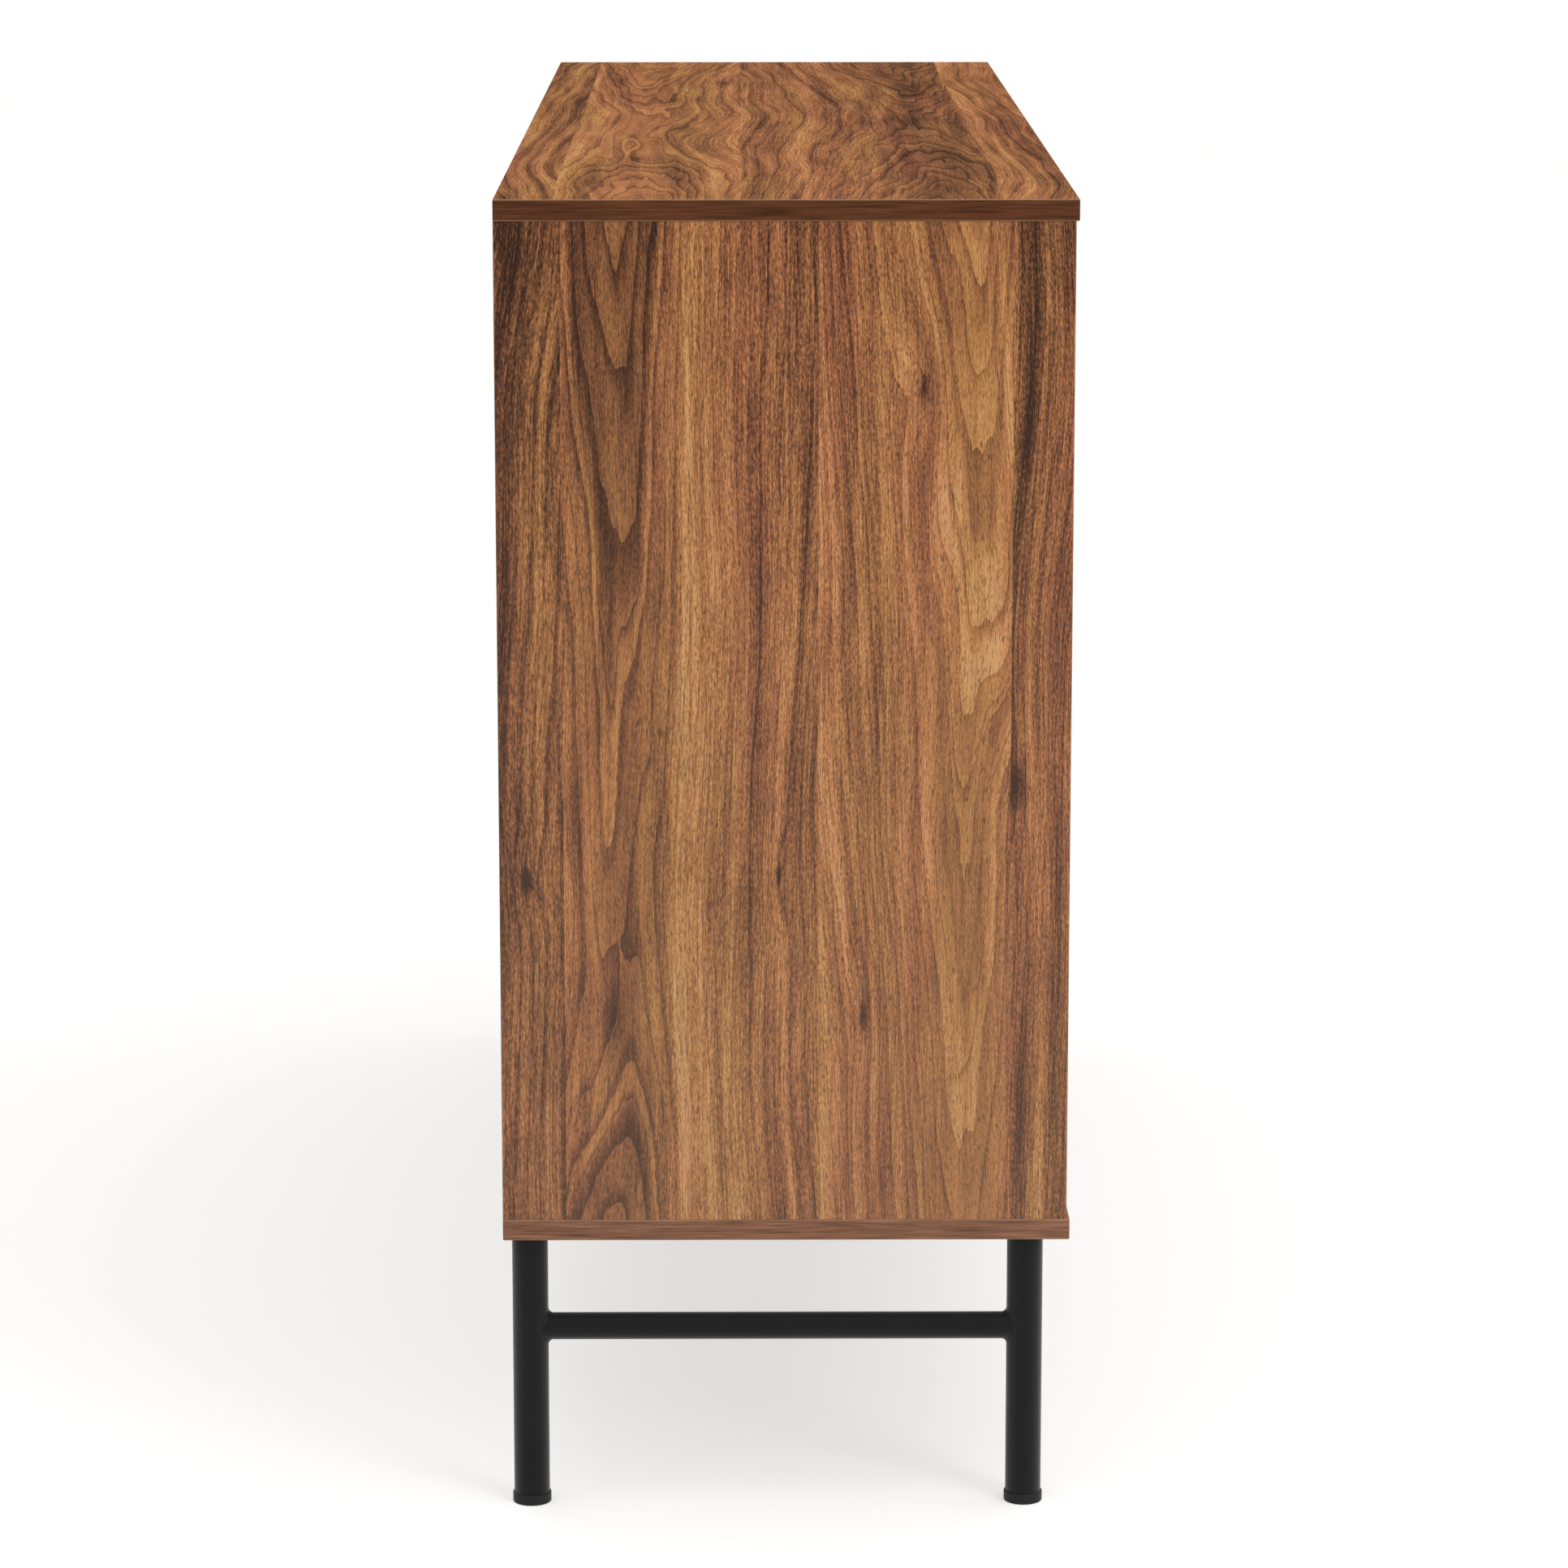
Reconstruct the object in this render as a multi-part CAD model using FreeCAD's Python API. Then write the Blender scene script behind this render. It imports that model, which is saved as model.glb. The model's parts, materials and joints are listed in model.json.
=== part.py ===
import FreeCAD, Part
import os

# Sideboard on two black steel leg frames: a box of 15 mm walnut-faced boards, three bays wide.
# The outer bays have a pivoting door each and a shelf on pins, the centre bay has three drawers on
# roller runners. X runs along the length, the front faces -Y, Z is up and the floor is z = 0.
# The origin is under the middle of the whole object, knobs included. All sizes are millimetres.

# Overall size and boards
overall_length = 1400.0
board_depth = 394.0  # top and bottom boards, front edge to back edge
overall_height = 918.0
board = 15.0  # thickness of every laminated board
edge_round = 1.0  # easing of the edge banding
side_setback = 2.2  # sides, doors and drawers stand this far behind the front of the top
bay_names = ("left", "centre", "right")
cut_over = 5.0  # how far a cutting tool runs past the face that it opens

# Back sheets of hardboard, held in a groove
back_sheet = 3.0
back_inset = 8.0  # wood left behind the groove
groove_depth = 6.0
groove_play = 0.2
sheet_seam = 1.0  # slit between two back sheets behind a partition

# Leg frames of round tube
leg_height = 195.0
leg_radius = 12.5
leg_wall = 1.5
leg_end_inset = 18.0  # leg centre to the end of the board
leg_back_inset = 18.0  # leg centre to the back edge of the board
leg_front_inset = 30.0  # leg centre to the front edge of the board
crossbar_radius = 9.5
crossbar_wall = 1.2
crossbar_height = 128.0
weld_radius = 4.0
plate_width = 40.0
plate_thickness = 3.0
plate_hole_shares = (0.12, 0.37, 0.63, 0.88)  # of the plate's length, from its front end
leg_screw_radius = 3.0
leg_screw_reach = 11.0  # into the bottom board
leg_screw_play = 0.3
leg_screw_head_radius = 6.0
leg_screw_head = 3.5
cap_wall = 1.0
cap_floor = 2.5
cap_height = 7.5
cap_round = 0.8

# Cam fittings and dowels between the uprights and the top and bottom
cam_radius = 7.5
cam_bore_depth = 12.5
cam_sunk = 0.5
cam_to_edge = 24.0
cam_front_inset = 48.0  # from the front edge of the upright
cam_back_inset = 48.0  # from the back edge of the partition
cam_play = 0.3
cam_socket_depth = 1.8  # cross for the screwdriver
cam_socket_width = 1.6
cam_socket_length = 9.0
bolt_radius = 2.5
bolt_thread = 10.0  # screwed into the top or bottom board
bolt_bore_radius = 4.0
bolt_head_radius = 3.5
bolt_head = 2.5
dowel_radius = 4.0
dowel_in_face = 9.0
dowel_in_edge = 21.0

# Shelves on pins in rows of holes
shelf_side_play = 1.0
shelf_setback = 22.0  # behind the back of the door
shelf_back_gap = 3.0
pin_radius = 2.5
pin_bore_depth = 8.0
pin_pitch = 32.0
pin_rows = 3
pin_front_inset = 70.0
pin_back_inset = 48.0
pin_foot = 2.0  # thickness of the metal angle under the shelf
pin_ledge = 8.0  # how far it reaches under the shelf
pin_width = 12.0
pin_drop = 12.0

# Doors on pivot pins
door_gap = 2.5
pivot_inset = 14.0  # pin axis to the hinge edge of the door
pivot_radius = 3.0
pivot_play = 0.05
pivot_plate_length = 50.0
pivot_plate_width = 11.0
pivot_plate_thickness = 2.0
bush_radius = 5.0
bush_depth = 10.0
bush_flange_radius = 7.0
bush_rest_gap = 0.3  # left between the bush flange and the pivot plate
catch_length = 46.0
catch_depth = 15.0
catch_height = 14.0
catch_inset = 60.0  # catch centre to the partition
pole_thickness = 1.6
pole_proud = 0.8
strike_length = 38.0
strike_height = 10.0
strike_thickness = 1.5
catch_gap = 0.3

# Knobs
knob_projection = 22.0
knob_head_radius = 12.0
knob_neck_radius = 5.0
knob_base_radius = 8.0
knob_base = 2.0
knob_rim = 5.0  # height of the head's straight rim
knob_dome = 1.5  # rise of its face
door_knob_inset = 32.0  # knob centre to the free edge of the door
door_knob_height_share = 0.62  # of the door's height
drawer_knob_height_share = 0.5  # of the drawer front's height

# Drawers and their roller runners
drawer_names = ("bottom", "middle", "top")
drawer_side = 12.0
drawer_side_height = 150.0
drawer_back_gap = 15.6  # drawer side to the back sheet
drawer_lift = 22.0  # lower edge of the drawer side above the lower edge of its front
drawer_bottom = 3.0
drawer_bottom_lift = 8.0
runner_gap = 12.5  # partition to drawer side
runner_sheet = 1.2
runner_bend = 0.6  # radius inside a fold
runner_channel = 8.8  # how far the cabinet runner's flanges reach
runner_lip = 2.0
runner_setback = 2.0  # cabinet runner behind the drawer front
runner_lift = 9.0  # channel centre above the lower edge of the drawer side
drawer_flange_reach = 9.0
drawer_flange_wrap = 10.0
roller_radius = 8.0
roller_width = 5.0
roller_chamfer = 0.6
roller_rim = 1.8  # height of the rim round the dished side
roller_hub = 1.6  # wall round the axle
roller_dish = 1.2  # depth of the dished side
roller_inset = 12.0  # roller centre to the end of its runner
roller_play = 0.3  # roller to flange, and roller to web
axle_radius = 2.0
axle_play = 0.05
axle_head = 1.0
flange_gap = 0.8  # drawer flange above the cabinet runner

# Places that follow from the sizes
half_length = overall_length / 2
back_y = (board_depth - side_setback + knob_projection) / 2
front_y = back_y - board_depth
side_front_y = front_y + side_setback
front_back_y = side_front_y + board  # back faces of doors and drawer fronts
groove_back_y = back_y - back_inset
groove_front_y = groove_back_y - back_sheet - 2 * groove_play
sheet_front_y = groove_front_y + groove_play
floor_z = leg_height + board  # inside bottom of the bays
ceiling_z = overall_height - board
bay_height = ceiling_z - floor_z
bays = len(bay_names)
bay_width = (overall_length - (bays + 1) * board) / bays
bay_starts = [-half_length + board + i * (bay_width + board) for i in range(bays)]
bay_ends = [start + bay_width for start in bay_starts]
leg_front_y = front_y + leg_front_inset
leg_back_y = back_y - leg_back_inset
leg_x = half_length - leg_end_inset
cam_ys = (side_front_y + cam_front_inset, sheet_front_y - cam_back_inset)
dowel_y = sum(cam_ys) / 2
pin_ys = (side_front_y + pin_front_inset, sheet_front_y - pin_back_inset)
pin_zs = [floor_z + bay_height / 2 + (i - (pin_rows - 1) / 2) * pin_pitch for i in range(pin_rows)]
shelf_pin_z = pin_zs[pin_rows // 2]
front_width = bay_width - 2 * door_gap
door_bottom_z = floor_z + door_gap
door_top_z = ceiling_z - door_gap
drawers = len(drawer_names)
drawer_front_height = (bay_height - (drawers + 1) * door_gap) / drawers
drawer_length = sheet_front_y - front_back_y - drawer_back_gap

# The channel is as high inside as a roller with its play, and the front roller stands a little
# higher than the channel, so that it carries the drawer's flange clear of the channel's top.
channel_half = roller_radius + roller_play + runner_sheet
flange_z_above_channel = channel_half + flange_gap
front_roller_rise = flange_z_above_channel - roller_play - roller_radius
roller_in = runner_sheet + roller_play  # wall to the near face of a roller
roller_out = roller_in + roller_width
front_roller_y = front_back_y + runner_setback + roller_inset
rear_roller_y = front_back_y + drawer_length - roller_inset

full_turn = 360  # degrees
pieces = {}


def at(x, y, z):
    return FreeCAD.Vector(x, y, z)


def block(x_pair, y_pair, z_pair):
    """Block that fills the space between two values on each axis."""
    (x0, x1), (y0, y1), (z0, z1) = sorted(x_pair), sorted(y_pair), sorted(z_pair)
    return Part.makeBox(x1 - x0, y1 - y0, z1 - z0, at(x0, y0, z0))


def rod(radius, start, end):
    """Round bar from one point to another."""
    run = end - start
    return Part.makeCylinder(radius, run.Length, start, run)


def whole(shape):
    """The one solid of a cut or joined shape."""
    return shape.Solids[0]


def eased(shape, radius, axis=None):
    """Rounds a block's straight edges: all of them, or those along one axis."""
    def chosen(edge):
        run = edge.Vertexes[1].Point - edge.Vertexes[0].Point
        return axis is None or abs(run.dot(axis)) > run.Length / 2
    return shape.makeFillet(radius, [edge for edge in shape.Edges if chosen(edge)])


def rounded_face(corners, radii):
    """Flat face with right-angled corners, each rounded by its radius; a radius of zero stays sharp."""
    ends = []
    for i, (corner, radius) in enumerate(zip(corners, radii)):
        before = (corners[i - 1] - corner).normalize()
        after = (corners[(i + 1) % len(corners)] - corner).normalize()
        inward = (before + after) * radius
        ends.append((corner + before * radius, corner + inward * (1 - 0.5**0.5), corner + after * radius))
    edges = []
    for i, (start, middle, end) in enumerate(ends):
        if radii[i]:
            edges.append(Part.Arc(start, middle, end).toShape())
        edges.append(Part.makeLine(end, ends[(i + 1) % len(ends)][0]))
    return Part.Face(Part.Wire(edges))


def folded(path, side, run):
    """Strip of runner sheet folded at right angles and pulled along a run.

    One of its faces follows the path, which lies across Y, and the sheet is on the side named by
    side, 1 or -1. In a fold the inner face has the bend radius and the outer one a sheet more.
    """
    steps = [(end - start).normalize() for start, end in zip(path, path[1:])]
    normals = [step.cross(at(0, side, 0)) for step in steps]
    back = [
        point + (before + after) * (runner_sheet / (1 + before.dot(after)))
        for point, before, after in zip(path, normals[:1] + normals, normals + normals[-1:])
    ]
    outer = runner_bend + runner_sheet
    towards = [step.dot(normal) > 0 for normal, step in zip(normals, steps[1:])]
    path_radii = [0] + [outer if inside else runner_bend for inside in towards] + [0]
    back_radii = [0] + [runner_bend if inside else outer for inside in towards] + [0]
    return rounded_face(path + back[::-1], path_radii + back_radii[::-1]).extrude(run)


def uprights():
    """Every vertical board: name, low X, which way its bored face looks, and whether it is a side."""
    return [
        ("left_side_panel", -half_length, 1, True),
        ("left_partition", bay_ends[0], -1, False),
        ("right_partition", bay_ends[1], 1, False),
        ("right_side_panel", bay_ends[2], -1, True),
    ]


def bored_face(x_low, looks):
    return x_low + board if looks > 0 else x_low


def joint_ends():
    """Both ends of an upright: the Z of its end, and the way to its middle."""
    return [(floor_z, 1), (ceiling_z, -1)]


def cam_bores(x_low, looks):
    """Bores of an upright: cams in the face, bolts and dowels in the ends."""
    face = bored_face(x_low, looks)
    middle = x_low + board / 2
    tools = []
    for end_z, inward in joint_ends():
        cam_z = end_z + inward * cam_to_edge
        outside_z = end_z - inward * cut_over
        for y in cam_ys:
            floor = at(face - looks * cam_bore_depth, y, cam_z)
            tools.append(rod(cam_radius, floor, at(face + looks * cut_over, y, cam_z)))
            tools.append(rod(bolt_bore_radius, at(middle, y, outside_z), at(middle, y, cam_z)))
        dowel_floor = at(middle, dowel_y, end_z + inward * dowel_in_edge)
        tools.append(rod(dowel_radius, at(middle, dowel_y, outside_z), dowel_floor))
    return tools


def pin_bores(x_low, looks):
    """Rows of shelf pin holes in the face of an upright."""
    face = bored_face(x_low, looks)
    return [
        rod(pin_radius, at(face - looks * pin_bore_depth, y, z), at(face + looks * cut_over, y, z))
        for y in pin_ys
        for z in pin_zs
    ]


def make_uprights():
    for name, x_low, looks, is_side in uprights():
        rear_y = back_y if is_side else sheet_front_y
        panel = block((x_low, x_low + board), (side_front_y, rear_y), (floor_z, ceiling_z))
        panel = eased(panel, edge_round, at(0, 0, 1))
        tools = cam_bores(x_low, looks) + pin_bores(x_low, looks)
        if is_side:
            face = bored_face(x_low, looks)
            groove_x = (face - looks * groove_depth, face + looks * cut_over)
            groove_z = (floor_z - cut_over, ceiling_z + cut_over)
            tools.append(block(groove_x, (groove_front_y, groove_back_y), groove_z))
        pieces[name] = [whole(panel.cut(tools))]


def pivot_places():
    """Both doors: name, X of the pivot, and the way from the pivot to the free edge."""
    return [
        (bay_names[0], bay_starts[0] + door_gap + pivot_inset, 1),
        (bay_names[-1], bay_ends[-1] - door_gap - pivot_inset, -1),
    ]


def make_top_and_bottom():
    """The two long boards, bored for bolts, dowels and pivot bushes, and grooved for the back."""
    pivot_y = side_front_y + board / 2
    for name, face_z, outward in (("bottom_panel", floor_z, -1), ("top_panel", ceiling_z, 1)):
        panel = block((-half_length, half_length), (front_y, back_y), (face_z, face_z + outward * board))
        panel = eased(panel, edge_round)
        open_z = face_z - outward * cut_over
        tools = []
        for _, x_low, _, _ in uprights():
            x = x_low + board / 2
            bolt_floor = face_z + outward * bolt_thread
            dowel_floor = face_z + outward * dowel_in_face
            for y in cam_ys:
                tools.append(rod(bolt_radius, at(x, y, open_z), at(x, y, bolt_floor)))
            tools.append(rod(dowel_radius, at(x, dowel_y, open_z), at(x, dowel_y, dowel_floor)))
        for _, x, _ in pivot_places():
            bush_floor = face_z + outward * bush_depth
            tools.append(rod(bush_radius, at(x, pivot_y, open_z), at(x, pivot_y, bush_floor)))
        groove_end = half_length - board + groove_depth
        groove_z = (open_z, face_z + outward * groove_depth)
        tools.append(block((-groove_end, groove_end), (groove_front_y, groove_back_y), groove_z))
        if outward < 0:
            for x, y in leg_screw_places():
                start = at(x, y, leg_height - cut_over)
                tools.append(rod(leg_screw_radius, start, at(x, y, leg_height + leg_screw_reach)))
        pieces[name] = [whole(panel.cut(tools))]


def make_back_sheets():
    """Three hardboard sheets that meet behind the partitions."""
    tongue = groove_depth - groove_play
    seams = [x_low + board / 2 for name, x_low, _, is_side in uprights() if not is_side]
    lows = [-half_length + board - tongue] + [x + sheet_seam / 2 for x in seams]
    highs = [x - sheet_seam / 2 for x in seams] + [half_length - board + tongue]
    for name, low, high in zip(bay_names, lows, highs):
        sheet_y = (sheet_front_y, sheet_front_y + back_sheet)
        sheet = block((low, high), sheet_y, (floor_z - tongue, ceiling_z + tongue))
        pieces[name + "_back_panel"] = [sheet]


def make_fittings():
    """Cams, the bolts that they draw in, and dowels, at both ends of every upright."""
    cams, bolts, dowels = [], [], []
    for _, x_low, looks, _ in uprights():
        face = bored_face(x_low, looks)
        x = x_low + board / 2
        for end_z, inward in joint_ends():
            cam_z = end_z + inward * cam_to_edge
            for y in cam_ys:
                cams.append(cam(face, looks, x, y, cam_z, inward))
                thread = at(x, y, end_z - inward * bolt_thread)
                shank = rod(bolt_radius, thread, at(x, y, cam_z))
                head = rod(bolt_head_radius, at(x, y, cam_z), at(x, y, cam_z - inward * bolt_head))
                bolts.append(whole(shank.fuse(head)))
            outer = at(x, dowel_y, end_z - inward * dowel_in_face)
            dowels.append(rod(dowel_radius, outer, at(x, dowel_y, end_z + inward * dowel_in_edge)))
    pieces["cam_locks"] = cams
    pieces["cam_bolts"] = bolts
    pieces["dowels"] = dowels


def cam(face, looks, x, y, z, inward):
    """Zinc cam with a pocket for the bolt's head, a narrower slot for its shank and a cross."""
    front = face - looks * cam_sunk
    body = rod(cam_radius, at(face - looks * cam_bore_depth, y, z), at(front, y, z))
    pocket = bolt_head_radius + cam_play
    slot = bolt_radius + cam_play
    pocket_z = (z + inward * cam_play, z - inward * (bolt_head + cam_play))
    slot_z = (z, z - inward * (cam_radius + cut_over))
    head_room = block((x - pocket, x + pocket), (y - pocket, y + pocket), pocket_z)
    shank_room = block((x - slot, x + slot), (y - slot, y + slot), slot_z)
    cross_x = (front - looks * cam_socket_depth, front + looks * cut_over)
    wide, long = cam_socket_width / 2, cam_socket_length / 2
    cross = [
        block(cross_x, (y - across, y + across), (z - along, z + along))
        for across, along in ((wide, long), (long, wide))
    ]
    return whole(body.cut([head_room, shank_room] + cross))


def make_shelves():
    """One shelf in each outer bay, on four metal angles with a pin."""
    pins = []
    for name, bay in ((bay_names[0], 0), (bay_names[-1], -1)):
        shelf_x = (bay_starts[bay] + shelf_side_play, bay_ends[bay] - shelf_side_play)
        shelf_y = (front_back_y + shelf_setback, sheet_front_y - shelf_back_gap)
        shelf_z = (shelf_pin_z + pin_foot, shelf_pin_z + pin_foot + board)
        pieces[name + "_shelf"] = [eased(block(shelf_x, shelf_y, shelf_z), edge_round, at(1, 0, 0))]
        for wall, away in ((bay_starts[bay], 1), (bay_ends[bay], -1)):
            for y in pin_ys:
                pins.append(shelf_pin(wall, away, y))
    pieces["shelf_pins"] = pins


def shelf_pin(wall, away, y):
    """Angle whose upright leg lies on the wall, with its pin in the hole below the shelf."""
    width = (y - pin_width / 2, y + pin_width / 2)
    top_z = shelf_pin_z + pin_foot
    ledge = block((wall, wall + away * pin_ledge), width, (shelf_pin_z, top_z))
    leg = block((wall, wall + away * pin_foot), width, (top_z - pin_drop, top_z))
    pin_end = at(wall - away * pin_bore_depth, y, shelf_pin_z)
    pin = rod(pin_radius, pin_end, at(wall + away * pin_foot, y, shelf_pin_z))
    clear_top = block((wall, wall + away * cut_over), width, (top_z, top_z + cut_over))
    return whole(ledge.fuse([leg, pin]).cut(clear_top))


def leg_screw_places():
    """X and Y of the screws through both leg plates."""
    low_y, high_y = leg_front_y - leg_radius, leg_back_y + leg_radius
    places = []
    for end in (-1, 1):
        x = end * (leg_x - plate_width / 2)
        places += [(x, low_y + share * (high_y - low_y)) for share in plate_hole_shares]
    return places


def make_leg_frames():
    """Two frames: a pair of tubes, the round bar welded between them, and the plate on top."""
    screws, caps = [], []
    plate_z = (leg_height - plate_thickness, leg_height)
    for name, end in (("left", -1), ("right", 1)):
        x = end * leg_x
        posts = []
        for place, y in (("front", leg_front_y), ("rear", leg_back_y)):
            post = rod(leg_radius, at(x, y, cap_floor), at(x, y, leg_height))
            bore_ends = at(x, y, cap_floor - cut_over), at(x, y, leg_height + cut_over)
            bore = rod(leg_radius - leg_wall, *bore_ends)
            pieces[name + "_" + place + "_leg"] = [whole(post.cut(bore))]
            posts.append(post)
            caps.append(foot_cap(x, y))
        pieces[name + "_crossbar"] = [crossbar(x, posts)]
        plate_y = (leg_front_y - leg_radius, leg_back_y + leg_radius)
        plate = block((x, x - end * plate_width), plate_y, plate_z)
        low_z, high_z = plate_z[0] - cut_over, plate_z[1] + cut_over
        hole_radius = leg_screw_radius + leg_screw_play
        holes = [rod(hole_radius, at(hx, hy, low_z), at(hx, hy, high_z)) for hx, hy in leg_screw_places()]
        pieces[name + "_leg_plate"] = [whole(plate.cut(posts + holes))]
    for x, y in leg_screw_places():
        shank = rod(leg_screw_radius, at(x, y, plate_z[0]), at(x, y, leg_height + leg_screw_reach))
        head = rod(leg_screw_head_radius, at(x, y, plate_z[0] - leg_screw_head), at(x, y, plate_z[0]))
        screws.append(whole(shank.fuse(head)))
    pieces["leg_screws"] = screws
    pieces["foot_caps"] = caps


def crossbar(x, posts):
    """Round tube coped to both legs, with the fillet of its weld all round each end."""
    start, end = at(x, leg_front_y, crossbar_height), at(x, leg_back_y, crossbar_height)
    frame = rod(crossbar_radius, start, end).fuse(posts).removeSplitter()
    seams = []
    for edge in frame.Edges:
        middle = edge.BoundBox.Center
        if abs(middle.z - crossbar_height) < crossbar_radius and edge.BoundBox.ZLength > crossbar_radius:
            seams.append(edge)
    welded = frame.makeFillet(weld_radius, seams)
    bore = rod(crossbar_radius - crossbar_wall, start, end)
    return whole(welded.cut(posts + [bore]))


def foot_cap(x, y):
    """Plastic cup pushed over the end of a leg."""
    cup = rod(leg_radius + cap_wall, at(x, y, 0), at(x, y, cap_height))
    cup = cup.makeFillet(cap_round, [edge for edge in cup.Edges if len(edge.Vertexes) == 1])
    return whole(cup.cut(rod(leg_radius, at(x, y, cap_floor), at(x, y, cap_height + cut_over))))


def make_doors():
    """Doors set in between the boards, each on a pin at the top and one at the bottom."""
    bushes, catches = [], []
    pivot_y = side_front_y + board / 2
    for (name, pivot_x, away), bay in zip(pivot_places(), (0, -1)):
        hinge_edge = pivot_x - away * pivot_inset
        free_edge = hinge_edge + away * front_width
        door = block((hinge_edge, free_edge), (side_front_y, front_back_y), (door_bottom_z, door_top_z))
        door = eased(door, edge_round)
        plates, recesses = [], []
        for end_z, inward, wall_z in ((door_bottom_z, 1, floor_z), (door_top_z, -1, ceiling_z)):
            plate_x = (pivot_x - away * pivot_plate_width / 2, pivot_x + away * pivot_plate_length)
            plate_y = (pivot_y - pivot_plate_width / 2, pivot_y + pivot_plate_width / 2)
            plate = block(plate_x, plate_y, (end_z, end_z + inward * pivot_plate_thickness))
            recess_z = (end_z - inward * cut_over, end_z + inward * pivot_plate_thickness)
            recesses.append(block(plate_x, plate_y, recess_z))
            pin_tip = at(pivot_x, pivot_y, wall_z - inward * (bush_depth - pivot_plate_thickness))
            pin = rod(pivot_radius, at(pivot_x, pivot_y, end_z), pin_tip)
            plates.append(whole(plate.fuse(pin)))
            bushes.append(pivot_bush(pivot_x, pivot_y, wall_z, inward))
        pieces[name + "_door"] = [whole(door.cut(recesses))]
        pieces[name + "_door_pivots"] = plates
        knob_z = door_bottom_z + door_knob_height_share * (door_top_z - door_bottom_z)
        pieces[name + "_door_knob"] = [knob(free_edge - away * door_knob_inset, knob_z)]
        partition = bay_ends[0] if bay == 0 else bay_starts[-1]
        catch_x = partition - away * catch_inset
        strike_z = (ceiling_z - catch_height, ceiling_z - catch_height + strike_height)
        strike_x = (catch_x - strike_length / 2, catch_x + strike_length / 2)
        strike_y = (front_back_y, front_back_y + strike_thickness)
        pieces[name + "_door_strike"] = [block(strike_x, strike_y, strike_z)]
        catches.append(catch(catch_x, strike_z))
    pieces["pivot_bushes"] = bushes
    pieces["magnetic_catches"] = catches


def pivot_bush(x, y, wall_z, inward):
    """Flanged bush in the board that the pin turns in; its flange spaces the door."""
    deep = wall_z - inward * bush_depth
    flange_z = wall_z + inward * (door_gap - bush_rest_gap)
    sleeve = rod(bush_radius, at(x, y, deep), at(x, y, wall_z))
    flange = rod(bush_flange_radius, at(x, y, wall_z), at(x, y, flange_z))
    bore_ends = at(x, y, deep - inward * cut_over), at(x, y, flange_z + inward * cut_over)
    bore = rod(pivot_radius + pivot_play, *bore_ends)
    return whole(sleeve.fuse(flange).cut(bore))


def catch(x, strike_z):
    """Magnetic catch under the top board: a plastic case with two steel poles at its front."""
    pole_y = front_back_y + strike_thickness + catch_gap
    case_y = pole_y + pole_proud
    case_x = (x - catch_length / 2, x + catch_length / 2)
    case = block(case_x, (case_y, case_y + catch_depth), (ceiling_z - catch_height, ceiling_z))
    pole_x = (x - strike_length / 2, x + strike_length / 2)
    poles = [
        block(pole_x, (pole_y, case_y + catch_depth / 2), (low, low + pole_thickness))
        for low in (strike_z[0] + pole_thickness, strike_z[1] - 2 * pole_thickness)
    ]
    return whole(case.fuse(poles))


def knob(x, z):
    """Turned knob: a base disc, a dished neck and a rim with a domed face, revolved about Y."""
    face = side_front_y
    tip_y = face - knob_projection
    rim_front_y = tip_y + knob_dome
    rim_back_y = rim_front_y + knob_rim
    neck_y = (rim_back_y + face - knob_base) / 2
    centre, tip = at(x, face, z), at(x, tip_y, z)
    base = at(x + knob_base_radius, face, z)
    base_top = at(x + knob_base_radius, face - knob_base, z)
    rim_back = at(x + knob_head_radius, rim_back_y, z)
    rim_front = at(x + knob_head_radius, rim_front_y, z)
    waist = 2 * knob_neck_radius - (knob_base_radius + knob_head_radius) / 2  # pulls the curve to the neck
    neck = Part.BezierCurve()
    neck.setPoles([base_top, at(x + waist, neck_y, z), rim_back])
    dome_radius = (knob_head_radius**2 + knob_dome**2) / (2 * knob_dome)
    half_x = knob_head_radius / 2
    half_y = tip_y + dome_radius - (dome_radius**2 - half_x**2) ** 0.5
    dome = Part.Arc(rim_front, at(x + half_x, half_y, z), tip).toShape()
    outline = [
        Part.makeLine(centre, base),
        Part.makeLine(base, base_top),
        neck.toShape(),
        Part.makeLine(rim_back, rim_front),
        dome,
        Part.makeLine(tip, centre),
    ]
    return whole(Part.Face(Part.Wire(outline)).revolve(centre, at(0, 1, 0), full_turn))


def drawer_levels():
    """Name and lower edge of each drawer front."""
    step = drawer_front_height + door_gap
    return [(name, door_bottom_z + i * step) for i, name in enumerate(drawer_names)]


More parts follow.
